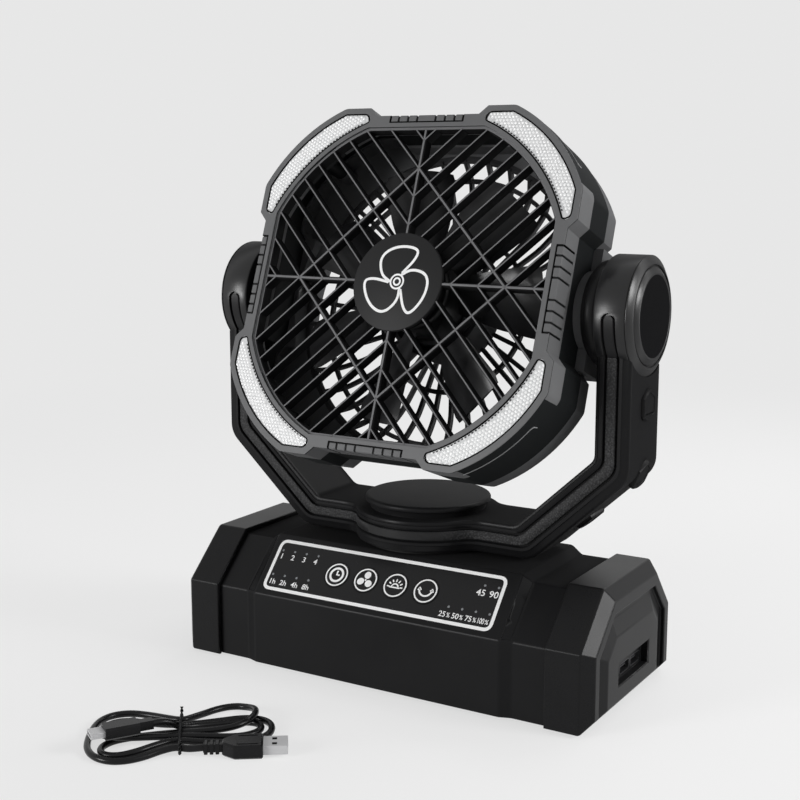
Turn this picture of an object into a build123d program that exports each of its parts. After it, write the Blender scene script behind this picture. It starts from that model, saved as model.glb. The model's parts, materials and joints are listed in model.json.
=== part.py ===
"""Portable camping fan: square lamp-and-fan head, tilting in a yoke that swings on a battery base.

Millimetres.  +X runs along the base to the right as the user faces the fan, -Y is the front
and +Z is up.  The origin is on the surface that the fan stands on, under the swing axis.
The head is built flat in its own plane (u to the right, v up, w out of the front face) and
is then turned back by head_tilt about the two side pivots.
"""
from build123d import *
import os
from math import atan, cos, hypot, pi, radians, sin, sqrt, tan

os.makedirs("parts", exist_ok=True)

# ------------------------------------------------------------------ driving dimensions
# Fits
running_gap = 0.05        # shaft in a hole, on the radius
slip_gap = 0.15           # pieces that are pushed together
slide_gap = 0.1           # flat faces that slide over each other
face_gap = 0.3            # curved faces of different bodies

# Base: profiles as (y, z) corners from the front bend over the top to the rear bend
base_half = 128.8         # centre to the outer face of an end cap
cap_length = 25.3         # of an end cap, along the base
cap_profile = ((-63.5, 44.0), (-35.5, 70.5), (28.5, 70.5), (52.0, 44.0))
block_profile = ((-62.7, 43.1), (-36.6, 71.8), (28.0, 71.8), (51.2, 45.0))
foot_height = 1.5         # rubber feet stand this far below the base
cap_chamfer_x = 5.8       # end chamfer along the base
cap_chamfer_in = 6.6      # end chamfer across the base, all round
cap_end_wall = 6.0        # outer face to the cavity, past the groove
recess_border = 5.5       # frame around the groove in the end
recess_depth = 2.8
recess_floor = 3.2        # width of the groove's floor
recess_slope = 7.8        # width of the slope from the floor up to the end panel
recess_drop = 1.5         # further drop of the groove's top edge
end_panel_drop = 3.4      # further drop of the end panel's top edge
end_panel_wall = 3.0      # end panel to the cavity
block_half = 77.8         # half length of the raised centre block
neck_start = 84.0         # where the block has sloped down to the neck
neck_inset = 3.0          # neck surface below the end cap surface
neck_spigot = 6.0         # length of neck inside each end cap
housing_wall = 2.6
tray_thick = 2.5
foot_radius = 8.0
foot_x = 80.0
foot_y = 38.0
floor_y = -6.0            # middle of the underside
screw_radius = 2.6
screw_x = 60.0
screw_y = 46.0
screw_post = 5.0
screw_length = 12.0
# USB pocket in the right end cap
usb_y_front = -26.0
usb_y_rear = 16.2
usb_z_low = 16.2
usb_z_high = 28.8
usb_pocket_depth = 5.0
usb_pocket_wall = 1.6
usb_a_width = 13.1
usb_a_height = 5.7
usb_a_length = 14.0
usb_c_width = 9.0
usb_c_height = 3.2
usb_c_length = 9.0
usb_pitch = 14.8
usb_last = 7.5            # rear wall of the pocket to the rear port's centre
usb_drop = 2.4            # ports below the pocket's middle
power_board_length = 42.0
board_thick = 1.6
# Control panel on the leaning front face
panel_length = 146.5
panel_height = 32.5
panel_shift = -1.4        # the panel sits a little left of centre
panel_up = 19.4           # its middle, up the slope from the bend
panel_thick = 1.6
panel_corner = 5.5
panel_ledge = 2.0         # lip of housing behind the panel's edge
button_radius = 7.6
button_pitch = 19.0
button_travel = 0.8
button_flange = 1.0
button_flange_out = 1.2
button_proud = 0.2
dot_radius = 0.7
dot_pitch = 8.1
dot_edge = 4.0            # panel end to the outer indicator
dot_high = 9.1            # upper row above the panel's middle
dot_low = -6.3
board_depth = 9.0         # panel face to the control board
board_post_x = 38.0
board_post_s = 9.5
board_post_radius = 2.2
switch_case = 6.0
switch_case_height = 3.4
# Battery
cell_radius = 9.2
cell_length = 65.0
cell_pitch = 19.5
cell_first_x = -94.0
cell_gap = 2.0
cell_y = -12.0
cell_rows = 3
cell_banks = 2
holder_thick = 1.5
holder_rib = 5.0
holder_edge = 2.0
# Swing drive
gear_module = 1.5
gear_teeth = 35
pinion_teeth = 14
gear_backlash = 0.25
gear_low = 52.0
gear_thick = 6.0
gear_hub_radius = 12.0
retainer_thick = 2.0
retainer_screw_radius = 2.0
retainer_screw_length = 12.0
motor_radius = 14.0
motor_height = 19.0
motor_ear = 17.5          # motor axis to its screw posts
motor_ear_thick = 1.5
motor_post_radius = 3.5
motor_shaft_radius = 2.5
motor_shaft_down = 6.0
spindle_radius = 8.0
spindle_flange = 20.0
spindle_flange_thick = 3.0
spindle_screw_at = 14.0
spindle_screw_radius = 1.5
bush_wall = 3.0
bush_boss_wall = 3.0
bush_length = 10.0
washer_inner = 32.0
washer_outer = 36.0
# Yoke
yoke_gap = 1.8            # base top to the underside of the yoke
yoke_bar = 17.5           # thickness of the bottom bar
arm_inner = 108.5         # centre to the inner face of an arm
arm_thick = 19.0
arm_depth = 42.0
arm_y = 2.5               # the arms' middle is this far behind the swing axis
yoke_flat_top = 64.0      # half length of the bottom bar's upper face
yoke_flat_low = 73.9      # half length of its underside
yoke_slope = 42.7         # degrees, of the sloping shoulders
yoke_wall = 3.0
yoke_cover = 3.0
yoke_bend_in = 7.0
yoke_bend_out = 14.0
hub_radius = 41.0
hub_blend = 14.0
hub_recess = 30.0
hub_web = 6.0
cover_end = 56.0          # centre to the inner end of each rear cover
strip_width = 5.4         # grip strip along the front of the yoke
strip_groove = 1.4
strip_depth = 1.6
strip_above_pivot = 4.0
bumper_width = 13.0
bumper_length = 17.0
bumper_height = 1.5
bumper_arm_z = 160.0
bumper_on_slope = (16.0, 52.0)   # from the lower end of the shoulder, along it
disc_radius = 35.8
disc_top = 98.0
disc_edge = 3.4
disc_neck_radius = 33.0
disc_wall = 2.4
boss_radius = 31.5
boss_sunk = 1.5           # end of a pivot boss inside the arm's outer face
boss_wall = 3.0
pivot_y = 6.5
pivot_z = 205.5
pin_radius = 6.0
pin_start = 92.0          # centre to the inner end of a pivot pin
pin_head_radius = 10.0
pin_head_thick = 3.0
pivot_cap_steps = ((31.5, 0.8), (29.0, 1.6), (24.0, 2.0))   # radius and height of each step
pivot_cap_spigot = 4.0
friction_steps = ((24.5, 2.5), (28.0, 6.0))
friction_start = 99.0
# Head
head_tilt = 20.5          # degrees back from upright, as the fan rests
pivot_depth = 45.0        # front face to the pivot axis
head_half = 98.5
notch_half = 93.8
notch_in = 31.8
notch_out = 36.7
corner_start = 53.0
corner_reach = 113.0      # centre to the corner arc, along the diagonal
corner_fillet = 7.0
bezel_depth = 38.0
bezel_wall = 2.6
front_plate = 3.0
aperture_half = 87.2
aperture_radius = 94.5
collar_depth = 13.0
collar_wall = 1.8
lens_inset = 3.7
lens_inner_radius = 97.2
lens_round = 2.4
lens_sunk = 0.4
lens_flange = 1.0
lens_flange_thick = 1.2
lamp_tray_depth = 6.0
lamp_tray_wall = 1.2
rib_pitch = 16.0
rib_count = 5
rib_width = 1.6
rib_front = -1.8
rib_depth = 6.5
spoke_width = 2.6
diamond_reach = 64.0
diamond_width = 2.2
grille_rim = 1.6
hub_cap_radius = 27.3
hub_cap_thick = 2.5
hub_cap_proud = 0.6
hub_disc_radius = 25.5
grip_half = 22.9
grip_front = 4.2
grip_side = 14.5
grip_thick = 1.4
grip_cut_width = 0.7
grip_cut_depth = 0.6
grip_cuts = (5.75, 11.5, 17.4)
rear_step = 1.2           # rear shell inside the front shell
rear_depth = 52.0
rear_wall = 2.6
ear_half = 33.0
ear_in = 84.0
ear_depth = 64.0
pivot_boss_radius = 22.0
guard_radius = 89.0
guard_rim = 4.0
guard_spokes = 36
guard_spoke_width = 2.6
guard_back = 70.0
guard_shoulder = (80.0, 64.0)    # radius and depth where the guard turns forward
guard_bar = 3.5
guard_rings = (46.0, 78.0)
guard_flat = 62.0         # radius where the guard's flat middle ends
cup_radius = 30.0
cup_wall = 2.5
fan_motor_radius = 24.0
fan_motor_front = 45.0
blade_count = 7
blade_tip = 74.0
blade_hub = 22.0
hub_front = 20.0
hub_depth = 22.0
hub_wall = 2.5
hub_boss = 6.0
blade_thick = 1.6
blade_middle = 31.0
blade_stations = ((20.0, 20.0, 42.0), (46.0, 33.0, 31.0), (76.0, 42.0, 23.0))   # radius, chord, pitch
fan_shaft_radius = 2.5
fan_shaft_back = 60.0
nut_radius = 5.5
nut_height = 4.0
head_screw_reach = 106.3
head_post_radius = 4.6
head_post_front = 12.0
head_screw_radius = 2.0
head_screw_head = 3.4
head_screw_proud = 2.2
head_screw_end = 20.0
# Charging cable, tied in a hank on the ground, in the hank's own frame
cord_diameter = 3.5
hank_x = -52.0
hank_y = -160.0
hank_turn = 31.0          # degrees, the hank's long axis from +X
hank_height = 8.0
hank_outline = ((-44, -14), (-46.5, -2), (-46, 8), (-43, 19), (-36, 24), (-27, 24.5), (-17, 20), (-8, 14.5),
                (-1, 13.5), (6, 20), (13, 29), (22, 33.5), (30, 30.5), (36, 22), (41, 14.5), (46, 9), (48, 1),
                (46, -7), (38, -11), (31, -13.5), (25, -17), (19.5, -22), (16, -26.5), (9, -26.5), (3, -27.5),
                (-4, -31), (-12, -36),
                (-20, -38), (-29, -36.5), (-36, -31), (-41, -23))
tie_width = 3.0
tie_wall = 1.6
tie_low = -31.5
tie_high = 15.5
usb_c_at = (-11.0, -12.5)        # outer end of the strain relief
usb_c_aim = 206.5                # degrees, from the relief to the plug
usb_c_parts = ((4.6, 7.5), (10.5, 17.0), (8.3, 7.0))   # width and length: relief, grip, plug
usb_c_grip_height = 6.0
usb_c_plug_height = 2.6
usb_a_at = (15.6, -25.0)
usb_a_aim = 4.5
usb_a_parts = ((5.4, 9.0), (15.5, 20.0), (12.0, 12.0))
usb_a_grip_height = 7.5
usb_a_plug_height = 4.5

# ------------------------------------------------------------------ derived places
base_low = foot_height
cap_inner = base_half - cap_length
cap_wall = neck_inset - slip_gap
base_front, base_rear = cap_profile[0][0], cap_profile[-1][0]
block_top = block_profile[1][1]
housing_end = cap_inner + neck_spigot
ceiling = block_top - housing_wall / 2
yoke_low = block_top + yoke_gap
yoke_top = yoke_low + yoke_bar
arm_outer = arm_inner + arm_thick
arm_middle = arm_inner + arm_thick / 2
boss_outer = arm_outer - boss_sunk
arm_front = arm_y - arm_depth / 2
arm_rear = arm_y + arm_depth / 2
boss_floor = arm_inner + boss_wall
hub_ceiling = yoke_top - hub_web
rise = tan(radians(yoke_slope))
shoulder_low = yoke_low + (arm_outer - yoke_flat_low) * rise
shoulder_top = yoke_top + (arm_inner - yoke_flat_top) * rise
cavity_top = pivot_z - boss_radius - yoke_wall
gear_distance = gear_module * (gear_teeth + pinion_teeth) / 2
usb_middle = (usb_z_low + usb_z_high) / 2 - usb_drop
usb_a_y = [usb_y_rear - usb_last - usb_pitch, usb_y_rear - usb_last]
usb_c_y = usb_a_y[0] - (usb_pitch + usb_c_width + 1.0) / 2
usb_back = base_half - usb_pocket_depth
power_board_top = usb_middle - usb_a_height / 2
button_x = [panel_shift + (i - 1.5) * button_pitch for i in range(4)]
panel_left = panel_shift - panel_length / 2
panel_right = panel_shift + panel_length / 2
flange_depth = panel_thick + slip_gap
plunger_depth = flange_depth + button_flange + button_travel + slide_gap
cell_low = base_low + tray_thick + holder_thick
tray_back = front_plate + lens_flange_thick
rib_back = rib_front - rib_depth
cap_seat = rib_front + hub_cap_proud - hub_cap_thick
head_screws = [(x * head_screw_reach / sqrt(2), y * head_screw_reach / sqrt(2)) for x in (-1, 1) for y in (-1, 1)]
base_screws = [(x, y + floor_y) for x in (-screw_x, screw_x) for y in (-screw_y, screw_y)]
spindle_screws = [(spindle_screw_at * cos(a * pi / 2), spindle_screw_at * sin(a * pi / 2)) for a in range(4)]


def save(name, shape):
    """Write one node's solids to parts/."""
    if isinstance(shape, list):
        shape = Compound(children=shape)
    export_step(shape, f"parts/{name}.step")


def box(x0, x1, y0, y1, z0, z1):
    """Box between two corners."""
    return Pos((x0 + x1) / 2, (y0 + y1) / 2, (z0 + z1) / 2) * Box(x1 - x0, y1 - y0, z1 - z0)


def post(radius, low, high, x=0.0, y=0.0):
    """Upright cylinder between two heights."""
    return Pos(x, y, (low + high) / 2) * Cylinder(radius, high - low)


def rod(radius, x0, x1, y, z):
    """Cylinder along X between two stations."""
    return Pos((x0 + x1) / 2, y, z) * Rot(0, 90, 0) * Cylinder(radius, x1 - x0)


def polygon(points):
    """Filled outline through the given corners."""
    return make_face(Polyline(*points, close=True))


def along_x(sketch, x0, x1):
    """Prism of a (y, z) sketch between two stations."""
    return extrude(Plane.YZ.offset(x0) * sketch, amount=x1 - x0)


def along_y(sketch, y0, y1):
    """Prism of an (x, z) sketch between two depths."""
    return extrude(Plane.XZ.offset(-y1) * sketch, amount=y1 - y0)


def along_z(sketch, z0, z1):
    """Prism of an (x, y) sketch between two heights."""
    return extrude(Pos(0, 0, z0) * sketch, amount=z1 - z0)


def left_copy(shape):
    """Mirror image of a right-hand piece."""
    return mirror(shape, Plane.YZ)


def round_corners(sketch, points, radius):
    """Fillet the corners of an outline that lie at the given points."""
    picked = [v for v in sketch.vertices() if min(hypot(v.X - x, v.Y - y) for x, y in points) < 0.01]
    return fillet(picked, radius)


# ------------------------------------------------------------------ base
def section(profile, inset=0.0, low=base_low, drop=0.0):
    """Cross-section of the base, pulled in on every side but the underside, its top lowered further by drop."""
    outline = polygon([(profile[0][0], -99), *profile, (profile[-1][0], -99)])
    if inset:
        outline = offset(outline, -inset, kind=Kind.INTERSECTION)
    high = profile[1][1] - inset - drop
    return outline & Pos(0, (low + high) / 2) * Rectangle(400, high - low)


def taper_x(sketch_a, xa, sketch_b, xb):
    """Solid between two cross-sections of the base."""
    return loft([Plane.YZ.offset(xa) * sketch_a, Plane.YZ.offset(xb) * sketch_b])


slope_low, slope_high = block_profile[0], block_profile[1]
panel_plane = Plane(origin=(0, slope_low[0], slope_low[1]), x_dir=(1, 0, 0),
                    z_dir=(0, slope_low[1] - slope_high[1], slope_high[0] - slope_low[0]))


def on_panel(shape, x=panel_shift, s=panel_up, depth=0.0):
    """Place a shape on the leaning face: x along it, s up it, depth below it."""
    return panel_plane * Pos(x, s, -depth) * shape


def indicator_places():
    """Indicator positions: two rows of four on the left, two over four on the right."""
    left = [panel_left + dot_edge + i * dot_pitch for i in range(4)]
    right = [panel_right - dot_edge - i * dot_pitch for i in range(4)]
    high = [(x, panel_up + dot_high) for x in left + right[:2]]
    return high + [(x, panel_up + dot_low) for x in left + right]


def make_housing():
    """Centre shell: raised block, necks, panel window, bush boss and motor posts."""
    shell = along_x(section(block_profile), -block_half, block_half)
    for side in (-1, 1):
        shell += taper_x(section(block_profile), side * block_half, section(cap_profile, neck_inset), side * neck_start)
        a, b = sorted((side * neck_start, side * housing_end))
        shell += along_x(section(cap_profile, neck_inset), a, b)
    inside = neck_inset + housing_wall
    shell -= along_x(section(cap_profile, inside, base_low - 1), -housing_end - 1, housing_end + 1)
    hollow = block_half - housing_wall
    shell -= along_x(section(block_profile, housing_wall, base_low - 1), -hollow, hollow)
    shell += post(spindle_radius + bush_wall + bush_boss_wall, block_top - bush_length, ceiling)
    shell -= post(spindle_radius + bush_wall, block_top - bush_length - 1, block_top + 1)
    for side in (-1, 1):
        shell += post(motor_post_radius, gear_low, ceiling, -gear_distance, side * motor_ear)
    face = RectangleRounded(panel_length, panel_height, panel_corner)
    shell -= on_panel(extrude(face, amount=2 * panel_thick), depth=panel_thick)
    shell -= on_panel(Box(panel_length - 2 * panel_ledge, panel_height - 2 * panel_ledge, 4 * housing_wall))
    return shell


def make_tray():
    """Floor of the base with the posts for the screws and for the power board."""
    slab = box(-housing_end, housing_end, base_front, base_rear, base_low, base_low + tray_thick)
    inside = neck_inset + housing_wall + slip_gap
    tray = along_x(section(cap_profile, inside), -housing_end, housing_end) & slab
    for x, y in base_screws:
        tray += post(screw_post, base_low, base_low + screw_length, x, y)
        tray -= post(screw_radius, base_low - 1, base_low + screw_length - 2, x, y)
    for x in (usb_back - power_board_length + 3, housing_end - 4):
        for y in (usb_y_front + 4, usb_y_rear - 4):
            tray += post(2.5, base_low, power_board_top - board_thick, x, y)
    return tray


def make_base_screws():
    """Screws up through the tray's posts."""
    return [post(screw_radius, base_low, base_low + screw_length - 2, x, y) for x, y in base_screws]


def make_feet():
    """Round rubber feet under the tray: one near each corner and one under the swing axis."""
    places = [(0, 0)] + [(x, floor_y + y) for x in (-foot_x, foot_x) for y in (-foot_y, foot_y)]
    return [post(foot_radius, 0, foot_height, x, y) for x, y in places]


def make_end_cap(with_usb):
    """Right-hand end cap: chamfered end, groove round a raised panel and, where asked, the USB pocket."""
    edge = base_half - cap_chamfer_x
    cap = along_x(section(cap_profile), cap_inner, edge)
    tip = section(cap_profile, cap_chamfer_in, base_low + cap_chamfer_in)
    cap += taper_x(section(cap_profile), edge, tip, base_half)
    mouth = cap_chamfer_in + recess_border
    foot = mouth + recess_floor
    face = base_half - recess_depth
    past = (recess_depth + 1) / recess_depth       # the panel's slope goes on to 1 mm past the end
    groove = along_x(section(cap_profile, mouth, base_low - 1, recess_drop), face, base_half + 1)
    groove -= taper_x(section(cap_profile, foot, base_low - 2, recess_drop), face,
                      section(cap_profile, foot + recess_slope * past, base_low - 2,
                              recess_drop + (end_panel_drop - recess_drop) * past), base_half + 1)
    cap -= groove
    inner_low = base_low + cap_wall
    cap -= along_x(section(cap_profile, cap_wall, inner_low), cap_inner, edge - 1)
    cap -= along_x(section(cap_profile, cap_wall + cap_chamfer_in, inner_low), cap_inner, base_half - cap_end_wall)
    cap -= along_x(section(cap_profile, foot + recess_slope + cap_wall, base_low + cap_chamfer_in + cap_wall, end_panel_drop),
                   cap_inner, base_half - end_panel_wall)
    throat = box(cap_inner - 1, housing_end + slip_gap, base_front, base_rear, 0, inner_low + 1)
    cap -= throat & along_x(section(cap_profile, cap_wall, base_low - 1), cap_inner - 1, edge)
    if with_usb:
        wall = usb_pocket_wall
        cap += box(usb_back - wall, base_half - 1, usb_y_front - wall, usb_y_rear + wall,
                   usb_z_low - wall, usb_z_high + wall)
        cap -= box(usb_back, base_half + 1, usb_y_front, usb_y_rear, usb_z_low, usb_z_high)
        for y in usb_a_y:
            cap -= port_outline(y, usb_a_width, usb_a_height, usb_back - wall - 1, usb_back + 1)
        cap -= port_outline(usb_c_y, usb_c_width, usb_c_height, usb_back - wall - 1, usb_back + 1)
    return cap


def port_outline(y, width, height, x0, x1):
    """Prism of a socket's outside."""
    return along_x(Pos(y, usb_middle) * RectangleRounded(width, height, height * 0.2), x0, x1)


def make_port(y, width, height, length):
    """Metal shell of a socket with its tongue, mouth flush with the pocket's back wall."""
    shell = port_outline(y, width, height, usb_back - length, usb_back)
    shell -= port_outline(y, width - 0.8, height - 0.8, usb_back - length + 1.5, usb_back + 1)
    tongue = box(usb_back - length + 1, usb_back - 1.5, y - width * 0.36, y + width * 0.36,
                 usb_middle - 0.4, usb_middle + 0.4)
    return shell + tongue


def make_power_board():
    """Charging board under the ports, with the blocks that lift the smaller socket."""
    x1 = usb_back - usb_pocket_wall - slip_gap
    board = box(usb_back - power_board_length, x1, usb_y_front, usb_y_rear, power_board_top - board_thick,
                power_board_top)
    seat = box(usb_back - usb_c_length, x1, usb_c_y - 3, usb_c_y + 3, power_board_top,
               usb_middle - usb_c_height / 2)
    return board + seat


def make_panel():
    """Glossy panel with four button holes, indicator holes and the board's posts."""
    panel = on_panel(extrude(RectangleRounded(panel_length, panel_height, panel_corner), amount=-panel_thick))
    length = board_depth - panel_thick / 2
    for x in (-board_post_x, board_post_x):
        for s in (-board_post_s, board_post_s):
            foot = Cylinder(board_post_radius, length)
            panel += on_panel(foot, panel_shift + x, panel_up + s, board_depth - length / 2)
    for x in button_x:
        panel -= on_panel(Cylinder(button_radius + face_gap, 4 * panel_thick), x)
    for x, s in indicator_places():
        panel -= on_panel(Cylinder(dot_radius, 4 * panel_thick), x, s)
    return panel


def make_indicators():
    """Light pipes from the board to the panel's face."""
    return [on_panel(Cylinder(dot_radius, board_depth), x, s, board_depth / 2) for x, s in indicator_places()]


def make_button(x):
    """Push button: round cap and a flange that holds it behind the panel."""
    length = flange_depth + button_proud
    cap = on_panel(Cylinder(button_radius, length), x, depth=length / 2 - button_proud)
    flange = Cylinder(button_radius + button_flange_out, button_flange)
    return cap + on_panel(flange, x, depth=flange_depth + button_flange / 2)


def make_control_board():
    """Board behind the panel."""
    plate = Box(panel_length - 2 * panel_ledge - 2, panel_height - 2 * panel_ledge - 1, board_thick)
    return on_panel(plate, depth=board_depth + board_thick / 2)


def make_switch(x):
    """Tact switch under a button, its plunger just clear of the pressed button."""
    case_top = board_depth - switch_case_height
    case = on_panel(Box(switch_case, switch_case, switch_case_height), x, depth=board_depth - switch_case_height / 2)
    plunger = Cylinder(1.7, case_top - plunger_depth)
    return case + on_panel(plunger, x, depth=(case_top + plunger_depth) / 2)


def cell_row_y(row):
    """Depth of one row of cells."""
    return cell_y + (row - (cell_rows - 1) / 2) * cell_pitch


def make_cells():
    """Battery cells lying along the base in two banks."""
    starts = [cell_first_x + bank * (cell_length + cell_gap) for bank in range(cell_banks)]
    rows = [cell_row_y(row) for row in range(cell_rows)]
    return [rod(cell_radius, x, x + cell_length, y, cell_low + cell_radius) for x in starts for y in rows]


def make_holder():
    """Cradle under the cells."""
    low = base_low + tray_thick
    x1 = cell_first_x + cell_banks * (cell_length + cell_gap) - cell_gap
    half = cell_pitch * cell_rows / 2 + holder_edge
    cradle = box(cell_first_x - holder_edge, x1 + holder_edge, cell_y - half, cell_y + half,
                 low, cell_low + holder_rib)
    for row in range(cell_rows):
        cradle -= rod(cell_radius, cell_first_x, x1, cell_row_y(row), cell_low + cell_radius)
    return cradle


# ------------------------------------------------------------------ swing drive
def involute(ratio):
    """Angle that an involute turns through between its base circle and a radius."""
    roll = sqrt(max(ratio * ratio - 1, 0))
    return roll - atan(roll)


def make_gear(teeth, low, turn=0.0):
    """Spur gear blank with involute flanks of a 20 degree tooth, one tooth at angle turn."""
    pitch = gear_module * teeth / 2
    base = pitch * cos(radians(20))
    root = pitch - 1.15 * gear_module
    tip = pitch + 0.9 * gear_module
    half_tooth = pi / (2 * teeth) - gear_backlash / (2 * pitch) + involute(pitch / base)
    start = max(root, base)
    radii = [root] + [start + (tip - start) * i / 4 for i in range(5)]
    flank = [(r, half_tooth - involute(r / base)) for r in radii]
    corners = []
    for k in range(teeth):
        middle = 2 * pi * k / teeth + radians(turn)
        corners += [(r * cos(middle - a), r * sin(middle - a)) for r, a in flank]
        corners += [(r * cos(middle + a), r * sin(middle + a)) for r, a in reversed(flank)]
    return along_z(polygon(corners), low, gear_low + gear_thick)


def make_swing_gear():
    """Gear on the spindle, with the collar that holds the yoke down under the bush."""
    gear = make_gear(gear_teeth, gear_low)
    gear += post(gear_hub_radius, gear_low + gear_thick, block_top - bush_length - face_gap)
    return gear - post(spindle_radius, gear_low - 1, block_top)


def make_pinion():
    """Pinion and its shaft; a tooth space faces the gear, where the gear has a tooth space too."""
    pinion = make_gear(pinion_teeth, gear_low + 0.4, 180.0 / pinion_teeth * (pinion_teeth % 2))
    return Pos(-gear_distance, 0, 0) * (pinion + post(motor_shaft_radius, gear_low - motor_shaft_down, gear_low + 1))


def make_swing_motor():
    """Motor under the pinion: can, ears and the bore for its shaft."""
    low = gear_low - motor_ear_thick
    motor = post(motor_radius, low - motor_height, low, -gear_distance, 0)
    motor += box(-gear_distance - motor_post_radius, -gear_distance + motor_post_radius,
                 -motor_ear, motor_ear, low, gear_low)
    for side in (-1, 1):
        motor += post(motor_post_radius, low, gear_low, -gear_distance, side * motor_ear)
    bore = gear_low - motor_shaft_down - face_gap
    return motor - post(motor_shaft_radius + running_gap, bore, gear_low + 1, -gear_distance, 0)


def make_bush():
    """Bush for the spindle in the housing's top."""
    bush = post(spindle_radius + bush_wall, block_top - bush_length, block_top)
    return bush - post(spindle_radius + running_gap, 0, 99)


def make_washer():
    """Low-friction ring between the base and the yoke."""
    return post(washer_outer, block_top, yoke_low - slide_gap) - post(washer_inner, 0, 99)


def make_spindle():
    """Spindle: flange under the yoke's web and a shank down through the bush and the gear."""
    spindle = post(spindle_flange, hub_ceiling - spindle_flange_thick, hub_ceiling)
    spindle += post(spindle_radius, gear_low, hub_ceiling - 1)
    spindle -= post(retainer_screw_radius, gear_low - 1, gear_low + retainer_screw_length)
    for x, y in spindle_screws:
        spindle -= post(spindle_screw_radius, hub_ceiling - 9, hub_ceiling + 1, x, y)
    return spindle


def make_retainer():
    """Washer and screw that hold the gear on the spindle."""
    washer = post(gear_hub_radius, gear_low - retainer_thick, gear_low)
    washer -= post(retainer_screw_radius, gear_low - 9, gear_low + 1)
    screw = post(retainer_screw_radius, gear_low - retainer_thick - 1, gear_low + retainer_screw_length)
    screw += post(2 * retainer_screw_radius, gear_low - retainer_thick - 2.5, gear_low - retainer_thick)
    return [washer, screw]


def make_spindle_screws():
    """Screws from the web's upper side into the spindle's flange."""
    screws = []
    for x, y in spindle_screws:
        shank = post(spindle_screw_radius, hub_ceiling - spindle_flange_thick, yoke_top, x, y)
        screws.append(shank + post(1.9 * spindle_screw_radius, yoke_top, yoke_top + 1.5, x, y))
    return screws


# ------------------------------------------------------------------ yoke
def yoke_outline():
    """Front view of the yoke: bottom bar, sloping shoulders and upright arms."""
    inner = [(yoke_flat_top, yoke_top), (arm_inner, shoulder_top)]
    outer = [(yoke_flat_low, yoke_low), (arm_outer, shoulder_low)]
    right = [*outer, (arm_outer, pivot_z), (arm_inner, pivot_z), *inner[::-1]]
    face = polygon(right + [(-x, z) for x, z in reversed(right)])
    face = round_corners(face, [(side * x, z) for x, z in inner for side in (-1, 1)], yoke_bend_in)
    return round_corners(face, [(side * x, z) for x, z in outer for side in (-1, 1)], yoke_bend_out)


def yoke_plan():
    """Top view of the yoke: the bar's depth with the round hub blended in."""
    plan = Pos(0, arm_y) * Rectangle(4 * hub_radius, arm_depth) + Circle(hub_radius)
    meet = [(side * sqrt(hub_radius ** 2 - y ** 2), y) for y in (arm_front, arm_rear) for side in (-1, 1)]
    return round_corners(plan, meet, hub_blend) + Pos(0, arm_y) * Rectangle(4 * arm_outer, arm_depth)


def yoke_body():
    """Outside of the yoke without its grip strip."""
    body = along_y(yoke_outline(), -2 * hub_radius, 2 * hub_radius)
    body &= along_z(yoke_plan(), 0, 2 * pivot_z)
    right = rod(boss_radius, arm_inner, boss_outer, pivot_y, pivot_z)
    for boss in (right, left_copy(right)):
        body += boss
    seat = rod(boss_radius, boss_outer, boss_outer + 10, pivot_y, pivot_z)
    for cut in (seat, left_copy(seat)):
        body -= cut
    return body


def strip_band(width):
    """Front view of a band along the middle of the yoke, with round ends on the bosses."""
    middle_z = (yoke_low + yoke_top) / 2
    bend_x = (yoke_flat_top + yoke_flat_low) / 2
    top = pivot_z + strip_above_pivot - width / 2
    half = [(bend_x, middle_z), (arm_middle, (shoulder_low + shoulder_top) / 2), (arm_middle, top)]
    path = FilletPolyline(*[(-x, z) for x, z in reversed(half)], *half, radius=(yoke_bend_in + yoke_bend_out) / 2)
    band = trace(path, line_width=width)
    return band + [Pos(side * arm_middle, top) * Circle(width / 2) for side in (-1, 1)]


def strip_piece(body, width):
    """Part of the yoke's front surface under a band, strip_depth deep."""
    reach = 2 * hub_radius
    band = along_y(strip_band(width), -reach, arm_y)
    return (body & band) - Pos(0, strip_depth, 0) * body


def bumpers():
    """Raised blocks on the outside of an arm and its shoulder."""
    pads = [Pos(arm_outer, arm_y, bumper_arm_z) * Box(2 * bumper_height, bumper_width, bumper_length)]
    lean = radians(yoke_slope)
    for along in bumper_on_slope:
        at = Pos(yoke_flat_low + along * cos(lean), arm_y, yoke_low + along * sin(lean))
        pads.append(at * Rot(0, -yoke_slope, 0) * Box(bumper_length, bumper_width, 2 * bumper_height))
    return pads


def yoke_cavity(y0, y1):
    """Space inside the bar, shoulders and arms between two depths, clear of hub and bosses."""
    inner = offset(yoke_outline(), -yoke_wall, kind=Kind.INTERSECTION)
    space = along_y(inner, y0, y1)
    right = box(cover_end, 2 * arm_outer, y0, y1, 0, cavity_top)
    return [space & right, space & left_copy(right)]


def make_yoke_frame(body):
    """Hollow yoke with its channel, spindle recess and pivot bores."""
    frame = body - strip_piece(body, strip_width + 2 * strip_groove)
    for pad in bumpers():
        frame += [pad, left_copy(pad)]
    for space in yoke_cavity(arm_front + yoke_wall, arm_rear + 1):
        frame -= space
    frame -= post(hub_recess, yoke_low - 1, hub_ceiling)
    for x, y in spindle_screws:
        frame -= post(spindle_screw_radius, hub_ceiling - 1, yoke_top + 1, x, y)
    bore = rod(boss_radius - boss_wall, boss_floor, boss_outer + 9, pivot_y, pivot_z)
    bore += rod(pin_radius + running_gap, arm_inner - 1, boss_outer, pivot_y, pivot_z)
    for cut in (bore, left_copy(bore)):
        frame -= cut
    return frame


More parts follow.
